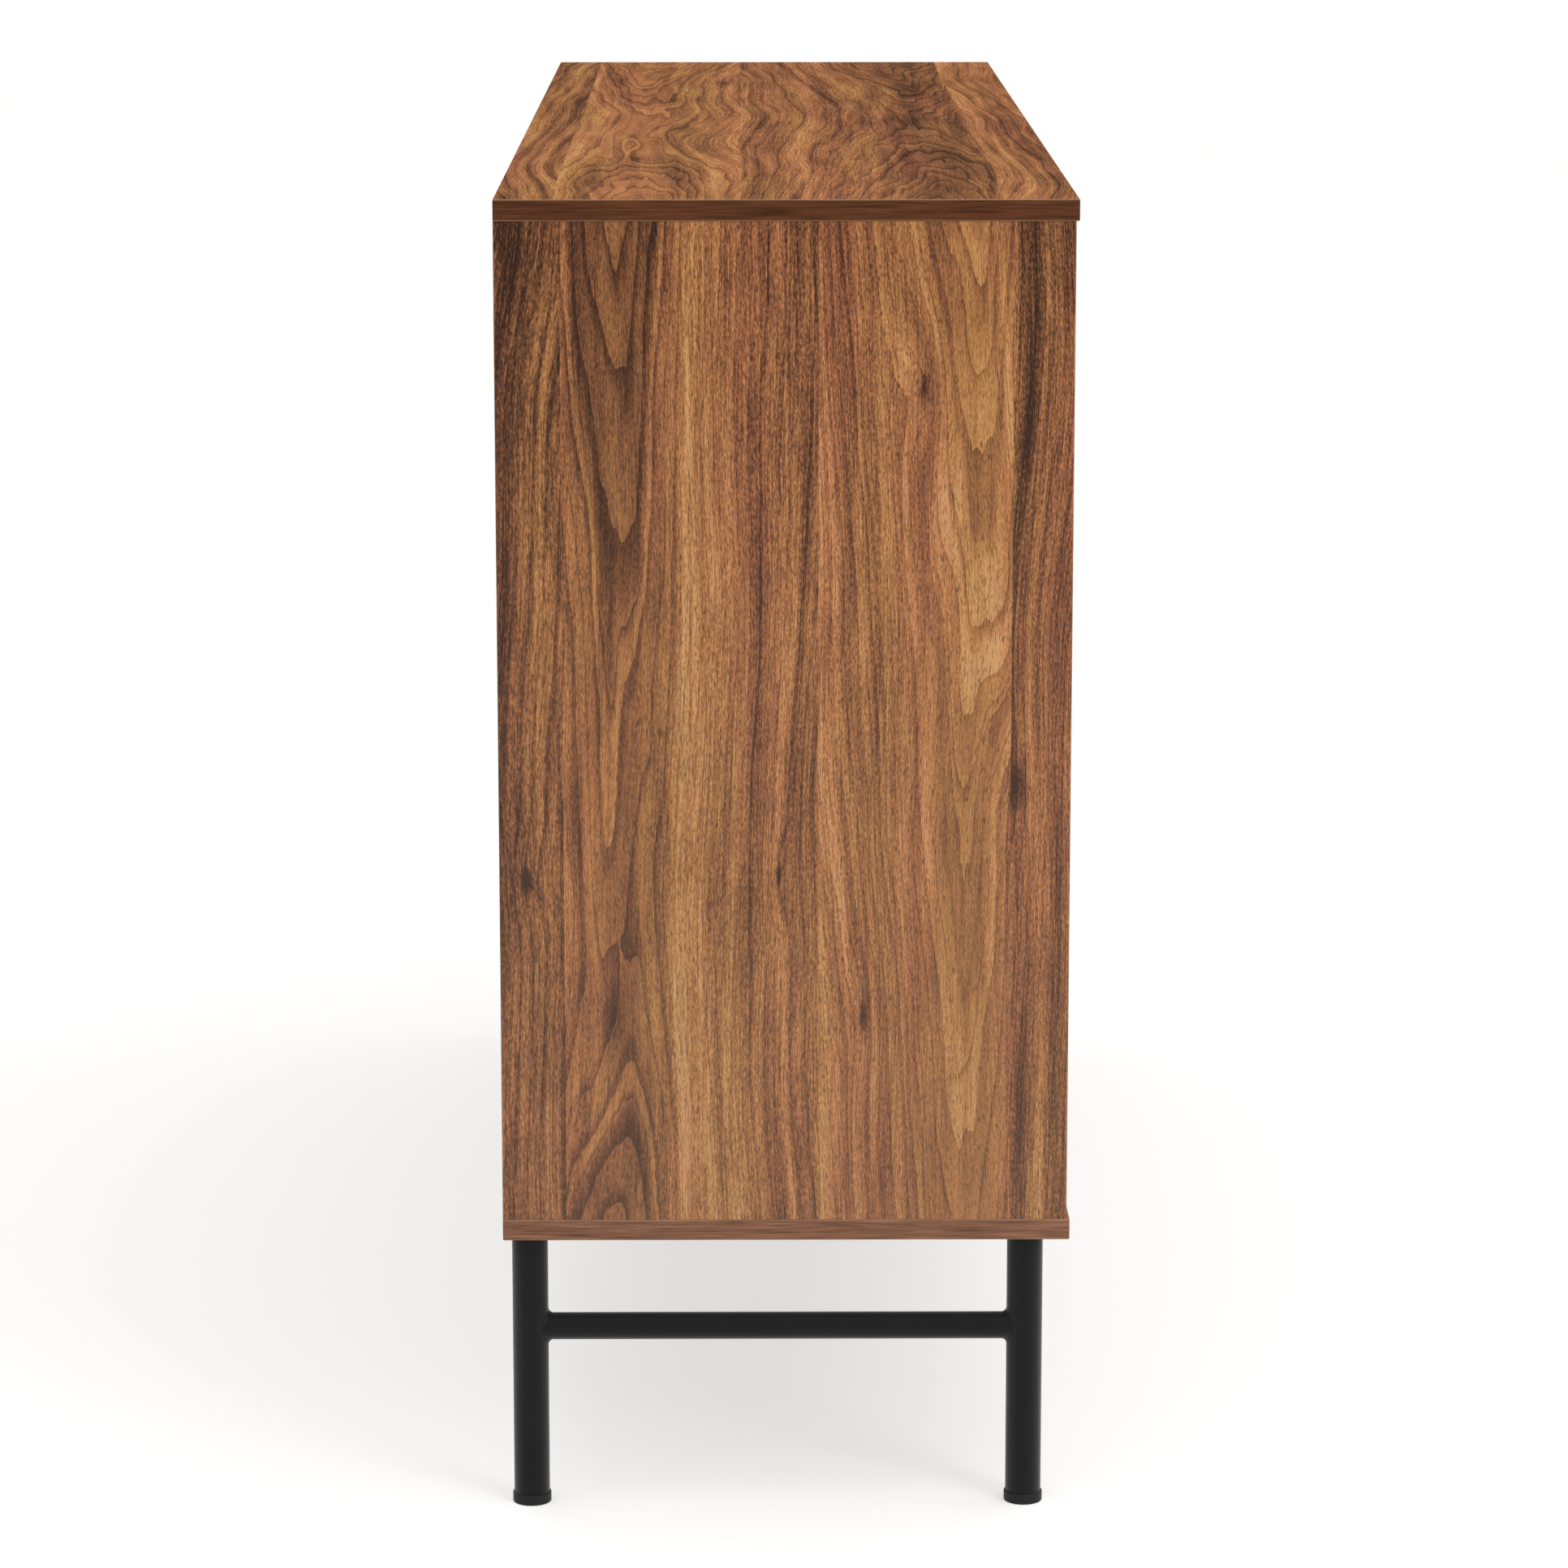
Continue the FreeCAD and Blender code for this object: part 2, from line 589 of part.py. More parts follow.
def make_drawers():
    left, right = bay_starts[1], bay_ends[1]
    inner = (left + runner_gap + drawer_side, right - runner_gap - drawer_side)
    end_y = front_back_y + drawer_length
    cabinet_runners = []
    for name, low_z in drawer_levels():
        side_z = low_z + drawer_lift
        top_z = side_z + drawer_side_height
        groove_low = side_z + drawer_bottom_lift
        groove_z = (groove_low, groove_low + drawer_bottom + 2 * groove_play)
        front_x = (left + door_gap, right - door_gap)
        front = block(front_x, (side_front_y, front_back_y), (low_z, low_z + drawer_front_height))
        front = eased(front, edge_round)
        front_slot = block(inner, (front_back_y - groove_depth, front_back_y + cut_over), groove_z)
        pieces[name + "_drawer_front"] = [whole(front.cut(front_slot))]
        sides = []
        for wall, away in ((left, 1), (right, -1)):
            outer = wall + away * runner_gap
            inside = outer + away * drawer_side
            side = block((outer, inside), (front_back_y, end_y), (side_z, top_z))
            side = eased(side, edge_round, at(0, 1, 0))
            slot_x = (inside - away * groove_depth, inside + away * cut_over)
            slot = block(slot_x, (front_back_y - cut_over, end_y + cut_over), groove_z)
            sides.append(whole(side.cut(slot)))
        pieces[name + "_drawer_sides"] = sides
        back = block(inner, (end_y - drawer_side, end_y), (groove_z[1], top_z))
        pieces[name + "_drawer_back"] = [eased(back, edge_round, at(1, 0, 0))]
        tongue = groove_depth - groove_play
        sheet_z = groove_z[0] + groove_play
        base_x = (inner[0] - tongue, inner[1] + tongue)
        main = block(base_x, (front_back_y, end_y), (sheet_z, sheet_z + drawer_bottom))
        lip = block(inner, (front_back_y - tongue, front_back_y), (sheet_z, sheet_z + drawer_bottom))
        pieces[name + "_drawer_bottom"] = [whole(main.fuse(lip).removeSplitter())]
        knob_z = low_z + drawer_knob_height_share * drawer_front_height
        pieces[name + "_drawer_knob"] = [knob((left + right) / 2, knob_z)]
        channel_z = side_z + runner_lift
        walls = ((left, 1), (right, -1))
        cabinet_runners += [cabinet_runner(wall, away, channel_z) for wall, away in walls]
        pieces[name + "_drawer_runners"] = [drawer_runner(wall, away, side_z) for wall, away in walls]
        pieces[name + "_front_rollers"] = [front_roller(wall, away, channel_z) for wall, away in walls]
        pieces[name + "_rear_rollers"] = [rear_roller(wall, away, channel_z) for wall, away in walls]
    pieces["cabinet_runners"] = cabinet_runners


def cabinet_runner(wall, away, z):
    """Channel folded from sheet, open to the drawer, with the axle of the front roller riveted in."""
    start_y = front_back_y + runner_setback
    low, high = z - channel_half, z + channel_half
    reach = wall + away * runner_channel
    path = [
        at(reach, start_y, high),
        at(wall, start_y, high),
        at(wall, start_y, low),
        at(reach, start_y, low),
        at(reach, start_y, low + runner_sheet + runner_lip),
    ]
    channel = folded(path, away, at(0, drawer_length, 0))
    roller_end_y = front_roller_y + roller_radius + runner_setback
    notch_x = (wall + away * runner_sheet, reach + away * cut_over)
    notch_z = (high - runner_sheet - runner_bend, high + cut_over)
    notch = block(notch_x, (start_y - cut_over, roller_end_y), notch_z)
    axle_z = z + front_roller_rise
    tip = wall + away * (roller_out + roller_play)
    axle = rod(axle_radius, at(wall, front_roller_y, axle_z), at(tip, front_roller_y, axle_z))
    head_end = at(tip + away * axle_head, front_roller_y, axle_z)
    head = rod(axle_radius + axle_head, at(tip, front_roller_y, axle_z), head_end)
    return whole(channel.cut(notch).fuse([axle, head]).removeSplitter())


def drawer_runner(wall, away, side_z):
    """Strip folded round the foot of the drawer side: a flange for the front roller, a rear axle."""
    channel_z = side_z + runner_lift
    outer = wall + away * runner_gap
    top_z = channel_z + flange_z_above_channel + runner_sheet
    path = [
        at(outer + away * drawer_flange_wrap, front_back_y, side_z),
        at(outer, front_back_y, side_z),
        at(outer, front_back_y, top_z),
        at(outer - away * drawer_flange_reach, front_back_y, top_z),
    ]
    strip = folded(path, away, at(0, drawer_length, 0))
    axle_start = at(wall + away * roller_in, rear_roller_y, channel_z)
    axle = rod(axle_radius, axle_start, at(outer, rear_roller_y, channel_z))
    return whole(strip.fuse(axle).removeSplitter())


def roller(wall, away, y, z):
    """Nylon wheel turned about its axle, with a chamfered tread and a dished side between rim and hub."""
    near, far = wall + away * roller_in, wall + away * roller_out
    bore_z, hub_z = z + axle_radius + axle_play, z + axle_radius + axle_play + roller_hub
    tread_z, rim_z = z + roller_radius, z + roller_radius - roller_rim
    dish = far - away * roller_dish
    outline = [
        at(near, y, bore_z),
        at(near, y, tread_z - roller_chamfer),
        at(near + away * roller_chamfer, y, tread_z),
        at(far - away * roller_chamfer, y, tread_z),
        at(far, y, tread_z - roller_chamfer),
        at(far, y, rim_z),
        at(dish, y, rim_z),
        at(dish, y, hub_z),
        at(far, y, hub_z),
        at(far, y, bore_z),
        at(near, y, bore_z),
    ]
    return whole(Part.Face(Part.makePolygon(outline)).revolve(at(near, y, z), at(away, 0, 0), full_turn))


def front_roller(wall, away, channel_z):
    return roller(wall, away, front_roller_y, channel_z + front_roller_rise)


def rear_roller(wall, away, channel_z):
    return roller(wall, away, rear_roller_y, channel_z)


make_uprights()
make_top_and_bottom()
make_back_sheets()
make_fittings()
make_shelves()
make_leg_frames()
make_doors()
make_drawers()

os.makedirs("parts", exist_ok=True)
for node, solids in pieces.items():
    shape = solids[0] if len(solids) == 1 else Part.makeCompound(solids)
    shape.exportStep("parts/" + node + ".step")
print(len(pieces), "nodes,", sum(len(solids) for solids in pieces.values()), "solids")
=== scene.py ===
# %% [markdown]
# # A walnut-faced sideboard on black steel legs
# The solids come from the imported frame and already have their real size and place. This lesson gives each
# of them its finish, adds the screws that the solids leave out, and sets up a plain studio around them.

# %% Load the frame
import json
import math
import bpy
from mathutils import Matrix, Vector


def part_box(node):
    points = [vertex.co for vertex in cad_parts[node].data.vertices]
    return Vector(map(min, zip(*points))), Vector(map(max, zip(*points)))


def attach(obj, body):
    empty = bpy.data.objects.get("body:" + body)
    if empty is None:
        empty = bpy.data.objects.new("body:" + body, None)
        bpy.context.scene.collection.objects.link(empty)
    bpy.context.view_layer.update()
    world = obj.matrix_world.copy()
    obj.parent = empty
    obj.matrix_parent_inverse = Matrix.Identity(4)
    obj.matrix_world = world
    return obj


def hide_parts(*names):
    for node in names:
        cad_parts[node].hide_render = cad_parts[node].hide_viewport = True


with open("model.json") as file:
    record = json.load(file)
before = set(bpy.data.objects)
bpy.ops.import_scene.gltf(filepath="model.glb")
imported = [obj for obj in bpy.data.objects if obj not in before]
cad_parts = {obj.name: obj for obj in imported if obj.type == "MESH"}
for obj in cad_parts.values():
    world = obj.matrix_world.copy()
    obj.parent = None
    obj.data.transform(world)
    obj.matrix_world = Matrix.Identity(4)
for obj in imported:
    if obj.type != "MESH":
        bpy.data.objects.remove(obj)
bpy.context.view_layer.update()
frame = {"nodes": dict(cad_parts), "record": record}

from types import SimpleNamespace

import bmesh
import bpy
from mathutils import Matrix, Vector

nodes = frame["nodes"]
slots = {part["node"]: part["material_slot"] for part in frame["record"]["subparts"]}

# %% [markdown]
# ## Camera
# The photograph looks at the narrow end from 3.65 m away, a little above the top. A long lens from far
# off keeps the top's sides close to parallel. The photograph's uprights are dead parallel, which takes a
# large lens shift. The camera here is tilted instead, so that the object stays in the middle from every
# side.

# %% Camera
camera_lens = 125.0  # millimetres on a 36 mm sensor
camera_gap = 3.652  # metres from the near end
camera_height = 1.247  # metres above the floor
camera_tilt = math.radians(11.28)  # below the horizon
camera_turn = math.radians(0.43)  # towards the front
camera_aside = 0.029  # from the middle of the top's depth, towards the back

top_low, top_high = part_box("top_panel")
camera_data = bpy.data.cameras.new("photograph")
camera_data.lens = camera_lens
camera = bpy.data.objects.new("photograph", camera_data)
bpy.context.scene.collection.objects.link(camera)
camera.location = (top_low.x - camera_gap, (top_low.y + top_high.y) / 2 + camera_aside, camera_height)
camera.rotation_euler = (math.pi / 2 - camera_tilt, 0, -math.pi / 2 - camera_turn)
bpy.context.scene.camera = camera
bpy.context.scene.view_settings.view_transform = "Standard"
print("camera at", tuple(round(value, 3) for value in camera.location))

# %% [markdown]
# ## One way to add a node
# Every material below is built with the same small function. It makes a node, sets its properties, and
# feeds each input with a plain value, a socket, or another node, whose first output is then meant.

# %% Node and colour helpers
def feed(tree, socket, value):
    """Gives an input a plain value, a socket, or a node, whose first output is then meant."""
    if isinstance(value, bpy.types.Node):
        value = next(output for output in value.outputs if output.enabled)
    if isinstance(value, bpy.types.NodeSocket):
        tree.links.new(value, socket)
    else:
        socket.default_value = value


def add(tree, kind, inputs=None, stops=None, **settings):
    """Adds a shader node. stops are (position, colour) pairs for a colour ramp."""
    made = tree.nodes.new("ShaderNode" + kind)
    for name, value in settings.items():
        setattr(made, name, value)
    for name, value in (inputs or {}).items():
        feed(tree, made.inputs[name], value)
    if stops:
        band = made.color_ramp.elements
        while len(band) < len(stops):
            band.new(1.0)
        for element, (position, colour) in zip(band, stops):
            element.position = position
            element.color = colour
    return made


def linear(code):
    """Turns an sRGB hex colour, such as 8a5a35, to the linear values that a shader takes."""
    shares = [int(code[start:start + 2], 16) / 255 for start in (0, 2, 4)]
    straight = [share / 12.92 if share <= 0.04045 else ((share + 0.055) / 1.055) ** 2.4 for share in shares]
    return straight + [1.0]


def new_material(name, **surface):
    """A material with one Principled shader, whose plain inputs are named with _ for a space."""
    material = bpy.data.materials.new(name)
    material.use_nodes = True
    tree = material.node_tree
    tree.nodes.clear()
    shader = add(tree, "BsdfPrincipled", {key.replace("_", " "): value for key, value in surface.items()})
    add(tree, "OutputMaterial", {"Surface": shader})
    return material, tree, shader


mm = 1000.0  # millimetres in a metre
white = linear("ffffff")

# %% [markdown]
# ## Studio
# The photograph was taken in a white studio: soft light comes from every side, and the ground is white.
# Most of the light here comes from an even sky. Three large softboxes, above, beside the near end and at
# the front, give the steel its soft highlights. The floor is a pale paint that adds a little white of its
# own where the camera, a gloss or glass sees it, so that it reads as white without more light on the
# furniture.

# %% Sky
sky_strength = 0.74
sky_seen = 1.0  # white, where the camera, a gloss or glass sees it


def where_seen(tree):
    """1 for the rays that see a background: from the camera, off a gloss or through glass."""
    rays = add(tree, "LightPath")
    seen = rays.outputs["Is Camera Ray"]
    for kind in ("Is Glossy Ray", "Is Transmission Ray"):
        seen = add(tree, "Math", {0: seen, 1: rays.outputs[kind]}, operation="MAXIMUM")
    return seen


world = bpy.data.worlds.new("studio")
world.use_nodes = True
bpy.context.scene.world = world
tree = world.node_tree
tree.nodes.clear()
strength = add(tree, "MapRange", {"Value": where_seen(tree), "To Min": sky_strength, "To Max": sky_seen})
sky = add(tree, "Background", {"Color": white, "Strength": strength})
add(tree, "OutputWorld", {"Surface": sky})
print("sky", sky_strength, "on the furniture,", sky_seen, "where it is seen")

# %% Floor
floor_reach = 60.0  # metres
floor_lift = 0.50  # strength of the white that the floor adds

floor_form = bmesh.new()
bmesh.ops.create_grid(floor_form, x_segments=1, y_segments=1, size=floor_reach)
floor_mesh = bpy.data.meshes.new("floor")
floor_form.to_mesh(floor_mesh)
floor_form.free()
floor = bpy.data.objects.new("floor", floor_mesh)
bpy.context.scene.collection.objects.link(floor)

floor_paint, tree, shader = new_material("matt_white_studio_paint", Roughness=0.9)
shader.inputs["Base Color"].default_value = linear("cfcfce")
lift = add(tree, "Math", {0: where_seen(tree), 1: floor_lift}, operation="MULTIPLY")
glow = add(tree, "Emission", {"Color": white, "Strength": lift})
both = add(tree, "AddShader", {0: shader, 1: glow})
feed(tree, tree.nodes["Material Output"].inputs["Surface"], both)
floor_mesh.materials.append(floor_paint)
print("floor", 2 * floor_reach, "m wide")

# %% Softboxes
softboxes = [
    # name, place, the place it shines at, width and depth, all in metres, and watts
    ("overhead", (-0.8, -0.4, 4.0), (0.0, 0.0, 0.5), 3.5, 3.5, 30),
    ("near_end", (-3.4, -2.4, 2.0), (-0.7, 0.0, 0.5), 1.4, 2.4, 44),
    ("front", (0.8, -4.0, 1.6), (0.0, 0.0, 0.5), 3.0, 2.0, 20),
]
for name, place, aim, width, depth, watts in softboxes:
    lamp_data = bpy.data.lights.new(name, "AREA")
    lamp_data.shape = "RECTANGLE"
    lamp_data.size = width
    lamp_data.size_y = depth
    lamp_data.energy = watts
    lamp = bpy.data.objects.new(name, lamp_data)
    bpy.context.scene.collection.objects.link(lamp)
    lamp.location = place
    lamp.rotation_euler = (Vector(aim) - Vector(place)).to_track_quat("-Z", "Y").to_euler()
    print(name, "softbox,", watts, "W")

# %% [markdown]
# ## Walnut-print melamine
# The boards are particle board under a melamine sheet with a walnut print, which shows several leaves of
# veneer side by side. In a flat-sawn leaf the growth rings are cut at a grazing angle. They show as tall
# pointed arches over the leaf's heart line and as fine straight lines away from it. An image texture
# could show this too, but a formula keeps its detail at any distance. It is built up below in steps:
# where a point lies on its leaf, the height of the wood there, the rings, the tone, the colour and the
# edge band.

# %% [markdown]
# ### Where a point lies
# The board's own axes along and across the grain are read from Object coordinates in millimetres, so the
# pattern keeps its real size and stays on the board when it moves. A colour ramp with constant steps says
# which leaf a point is on and holds three numbers for it. A ramp holds only shares from 0 to 1, so the
# numbers are stretched to their real range after it.

# %% Place on the leaf
heart_low, heart_high = -1.0, 2.0  # where a leaf's heart line may lie, in widths of the board
turn_reach = 4000.0  # mm that a leaf's turn may lie away, either way
leaf_shift = 0.37  # for each mm between two hearts, how far the noise of the leaves is apart
sway_length, sway_breadth, sway_reach = 420.0, 190.0, 28.0  # mm, the slow bends of the grain


def grain(point, length, breadth, detail=2.0, roughness=0.5, leaning=False):
    """Noise drawn out along the grain: its features are about length by breadth mm.

    leaning: whether it bends with the rings
    """
    tree = point.tree
    side = point.bent if leaning else point.v
    along_grain = add(tree, "Math", {0: point.u, 1: 1 / length, 2: point.shift}, operation="MULTIPLY_ADD")
    across_grain = add(tree, "Math", {0: side, 1: 1 / breadth}, operation="MULTIPLY")
    spot = add(tree, "CombineXYZ", {0: along_grain, 1: across_grain, 2: point.shift})
    return add(tree, "TexNoise", {"Vector": spot, "Scale": 1.0, "Detail": detail, "Roughness": roughness})


def place_on_leaf(tree, along, across, width, leaves, seed):
    """Where a point lies on its board, u mm along the grain and v mm across it, and on which leaf."""
    axes = add(tree, "SeparateXYZ", {0: add(tree, "TexCoord").outputs["Object"]})
    u, v = [
        add(tree, "Math", {0: axes.outputs[letter], 1: mm * way, 2: -mm * way * start},
            operation="MULTIPLY_ADD")
        for letter, way, start in (along, across)
    ]
    heart_range = heart_high - heart_low
    codes = [
        (start, ((heart - heart_low) / heart_range, (turn + turn_reach) / (2 * turn_reach), gold, 1.0))
        for start, heart, turn, gold in leaves
    ]
    share = add(tree, "Math", {0: v, 1: 1 / width}, operation="MULTIPLY")
    leaf = add(tree, "ValToRGB", {0: share}, stops=codes)
    leaf.color_ramp.interpolation = "CONSTANT"
    heart, turn, gold = add(tree, "SeparateColor", {0: leaf}).outputs
    heart = add(tree, "Math", {0: heart, 1: heart_range * width, 2: heart_low * width},
                operation="MULTIPLY_ADD")
    turn = add(tree, "Math", {0: turn, 1: 2 * turn_reach, 2: -turn_reach}, operation="MULTIPLY_ADD")
    shift = add(tree, "Math", {0: heart, 1: leaf_shift, 2: seed}, operation="MULTIPLY_ADD")
    point = SimpleNamespace(tree=tree, axes=axes, u=u, v=v, heart=heart, turn=turn, gold=gold, shift=shift)
    bend = grain(point, sway_length, sway_breadth, detail=1.0)
    point.sway = add(tree, "Math", {0: bend, 1: 2 * sway_reach, 2: -sway_reach}, operation="MULTIPLY_ADD")
    point.bent = add(tree, "Math", {0: v, 1: point.sway}, operation="ADD")
    return point


# %% [markdown]
# ### The height of the wood
# One height gives both the arches and the straight lines. It rises across the leaf with the distance from
# the heart line, and falls along it with the distance from the place where the arches turn round. Flames
# split an arch's tip, ripples roughen it, and knots push the rings aside.

# %% Height of the wood
ring_gap, ring_gap_at = 5.6, 40.0  # mm: how far apart the rings are, this far from the heart line
ring_power = 0.75  # of the squared distance, so that the rings draw closer away from the heart line
across_rate = 1 / (2 * ring_power * ring_gap * ring_gap_at ** (2 * ring_power - 1))
tip_width = 9.0  # mm, how blunt an arch's tip is
arch_gap = 76.0  # mm between two arches
turn_width = 120.0  # mm, how far the arches fade out round the turn
heart_square = 1300.0  # mm2, squared width of the calm golden wood at the heart
flame_length, flame_breadth, flame_rise = 170.0, 22.0, 2.2  # mm, mm and rings
ripple_length, ripple_breadth, ripple_rise = 45.0, 6.0, 0.35
knot_rise = 2.2  # rings that a knot pushes aside
knot_push = math.exp(-1 / 6)  # share of the push that is left at the knot's rim
knot_core = math.exp(-3.0)  # share of the dark core that is left there


def wood_height(point, knots, swirl):
    """The height of the wood in rings, how near the heart a point is, and the dark tone of the knots."""
    tree = point.tree
    from_heart = add(tree, "Math", {0: point.bent, 1: point.heart}, operation="SUBTRACT")
    from_turn = add(tree, "Math", {0: point.u, 1: point.turn}, operation="SUBTRACT")
    across = add(tree, "Math", {0: from_heart, 1: from_heart, 2: tip_width**2}, operation="MULTIPLY_ADD")
    along = add(tree, "Math", {0: from_turn, 1: from_turn, 2: turn_width**2}, operation="MULTIPLY_ADD")
    rise = add(tree, "Math", {0: across, 1: ring_power}, operation="POWER")
    fall = add(tree, "Math", {0: along}, operation="SQRT")
    flames = grain(point, flame_length, flame_breadth, detail=1.0)
    ripples = grain(point, ripple_length, ripple_breadth, detail=1.0)
    height = add(tree, "Math", {0: fall, 1: -1 / arch_gap}, operation="MULTIPLY")
    for more, rate in ((rise, across_rate), (flames, flame_rise * swirl), (ripples, ripple_rise * swirl)):
        height = add(tree, "Math", {0: more, 1: rate, 2: height}, operation="MULTIPLY_ADD")
    near_heart = add(tree, "Math", {0: across, 1: -1 / heart_square}, operation="MULTIPLY")
    near_heart = add(tree, "Math", {0: near_heart}, operation="EXPONENT")

    shade = 0.0
    spot = add(tree, "CombineXYZ", {0: point.u, 1: point.v})
    for knot_u, knot_v, knot_length, knot_width, dark in knots:
        off = add(tree, "VectorMath", {0: spot, 1: (knot_u, knot_v, 0.0)}, operation="SUBTRACT")
        off = add(tree, "VectorMath", {0: off, 1: (knot_length, knot_width, 1.0)}, operation="DIVIDE")
        off = add(tree, "VectorMath", {0: off, 1: off}, operation="DOT_PRODUCT")
        around = add(tree, "Math", {0: knot_push, 1: off}, operation="POWER")
        core = add(tree, "Math", {0: knot_core, 1: off}, operation="POWER")
        height = add(tree, "Math", {0: around, 1: knot_rise, 2: height}, operation="MULTIPLY_ADD")
        shade = add(tree, "Math", {0: core, 1: -dark, 2: shade}, operation="MULTIPLY_ADD")
    return height, near_heart, shade


# %% [markdown]
# ### Rings
# A ring is a step of one in the height. It starts with a dark line and pales towards the next one, and a
# random number gives each ring a tone of its own. A little noise along the height makes the rings uneven.

# %% Rings
uneven_rate, uneven_rise = 0.7, 2.2  # how fast and by how many rings the steps stray
line_fade = 2.4  # the higher, the sooner a ring's dark line pales
line_faint, line_dark = 0.08, 0.60  # how dark the lines are
line_far = 0.7  # share of a line's darkness far from the heart


def wood_rings(point, height, near_heart):
    """Each ring's random number, how much of the ring is still ahead, and how dark its line is."""
    tree = point.tree
    uneven = add(tree, "TexNoise", {"W": height, "Scale": uneven_rate, "Detail": 2.0}, noise_dimensions="1D")
    step = add(tree, "Math", {0: uneven, 1: uneven_rise, 2: height}, operation="MULTIPLY_ADD")
    part = add(tree, "Math", {0: step}, operation="FRACT")
    whole = add(tree, "Math", {0: step}, operation="FLOOR")
    number = add(tree, "Math", {0: whole, 1: point.shift}, operation="ADD")
    own = add(tree, "TexWhiteNoise", {"W": number}, noise_dimensions="1D").outputs["Value"]
    ahead = add(tree, "Math", {0: 1.0, 1: part}, operation="SUBTRACT")
    line = add(tree, "Math", {0: ahead, 1: line_fade}, operation="POWER")
    depth = add(tree, "MapRange", {"Value": own, "To Min": line_faint, "To Max": line_dark})
    reach = add(tree, "Math", {0: near_heart, 1: 1 - line_far, 2: line_far}, operation="MULTIPLY_ADD")
    for factor in (depth, reach):
        line = add(tree, "Math", {0: line, 1: factor}, operation="MULTIPLY")
    return own, ahead, line


# %% [markdown]
# ### Tone
# The tone of a point is a number from dark to light. It starts with the leaf's own bands. The rings and
# the slow drift from ring to ring push it up and down, and so does the grain, from broad streaks to
# fibres and specks. The heart is golden and calm, so the grain that leans with the rings is fainter
# there.

# %% Tone
band_sway = 0.3  # share of the sway that the bands follow
ring_reach = 0.23  # how far a ring's own tone strays
drift_rate, drift_reach = 0.33, 0.30  # how fast the tone drifts from ring to ring, and how far
line_lift = 0.09  # makes up for what the dark lines take
gold_reach = 0.25  # how far a leaf's golden heart lightens the tone, or a dull one darkens it
heart_calm = 0.45  # share of the grain that the heart lacks
grain_layers = {
    # length and breadth in mm, detail, roughness, how far it pushes the tone, whether it leans with the rings
    "streak": (900, 13, 2.0, 0.5, 0.52, True),
    "fibre": (110, 1.3, 2.0, 0.5, 0.25, True),
    "fleck": (24, 0.9, 1.0, 0.5, 0.25, True),
    "speck": (3.1, 0.9, 2.0, 0.6, 0.62, True),
    "mottle": (120, 22, 3.0, 0.6, 0.31, False),
}


def wood_tone(point, width, bands, knots, swirl, top_shade):
    """The tone of the print, its grain layers by name, and how calm the wood is."""
    tree = point.tree
    height, near_heart, knot_shade = wood_height(point, knots, swirl)
    own, ahead, line = wood_rings(point, height, near_heart)
    drift = add(tree, "TexNoise", {"W": height, "Scale": drift_rate, "Detail": 2.0}, noise_dimensions="1D")
    calm = add(tree, "Math", {0: near_heart, 1: -heart_calm, 2: 1.0}, operation="MULTIPLY_ADD")

    stops = [(start, (tone, tone, tone, 1.0)) for start, tone in bands]
    side = add(tree, "Math", {0: point.sway, 1: band_sway, 2: point.v}, operation="MULTIPLY_ADD")
    side = add(tree, "Math", {0: side, 1: 1 / width}, operation="MULTIPLY")
    tone = add(tree, "ValToRGB", {0: side}, stops=stops)

    # Each push is a number from 0 to 1 that moves the tone up or down by its reach, times a weight
    pushes = [(own, ring_reach, ahead), (drift, drift_reach, 1.0), (point.gold, gold_reach, near_heart)]
    layers = {}
    for title, (length, breadth, detail, roughness, reach, leaning) in grain_layers.items():
        layers[title] = grain(point, length, breadth, detail, roughness, leaning)
        pushes.append((layers[title], reach, calm if leaning else 1.0))
    for value, reach, weight in pushes:
        push = add(tree, "Math", {0: value, 1: 2 * reach, 2: -reach}, operation="MULTIPLY_ADD")
        tone = add(tree, "Math", {0: push, 1: weight, 2: tone}, operation="MULTIPLY_ADD")

    line = add(tree, "Math", {0: line_lift, 1: line}, operation="SUBTRACT")
    # Painted shade: the print is darkened near its start, which on the end panels lies under the top board
    top_shade_dark, top_shade_length = top_shade
    painted_top_shade = add(tree, "MapRange", {"Value": point.u, "From Max": top_shade_length, "To Min": -top_shade_dark,
                                        "To Max": 0.0})
    for more in (line, knot_shade, painted_top_shade):
        tone = add(tree, "Math", {0: tone, 1: more}, operation="ADD")
    return tone, layers, calm


# %% [markdown]
# ### Colour of the print
# A ramp turns the tone to the browns of walnut. Some stretches of the print are redder. Dark hairs and
# short pores lie over it, and the colour may pale to a greyish tone along the board, which on the end
# panels is painted light from the floor.

# %% Colour of the print
walnut_tones = [
    (0.00, linear("2e1a11")),
    (0.20, linear("57341f")),
    (0.40, linear("7e5133")),
    (0.55, linear("9b673f")),
    (0.70, linear("b27a46")),
    (0.85, linear("c48b52")),
    (1.00, linear("d5a36a")),
]
pore_colour = linear("3a2418")
red_cast = (1.04, 0.92, 1.08, 1.0)  # multiplies the brown where the print turns reddish
paling_colour = linear("b39a84")  # a pale greyish tone that the print is mixed towards; at the foot of the end panels it is painted light from the floor
print_marks = {
    # length and breadth in mm, detail, the noise at which the mark starts and is full, whether it leans
    "reddish": (420, 50, 2.0, 0.36, 0.62, False),
    "hairs": (70, 0.8, 1.0, 0.58, 0.66, True),
    "pores": (7, 0.9, 1.0, 0.57, 0.67, True),
}
pore_dark, hair_dark = 0.6, 0.40  # how much of pore_colour they take


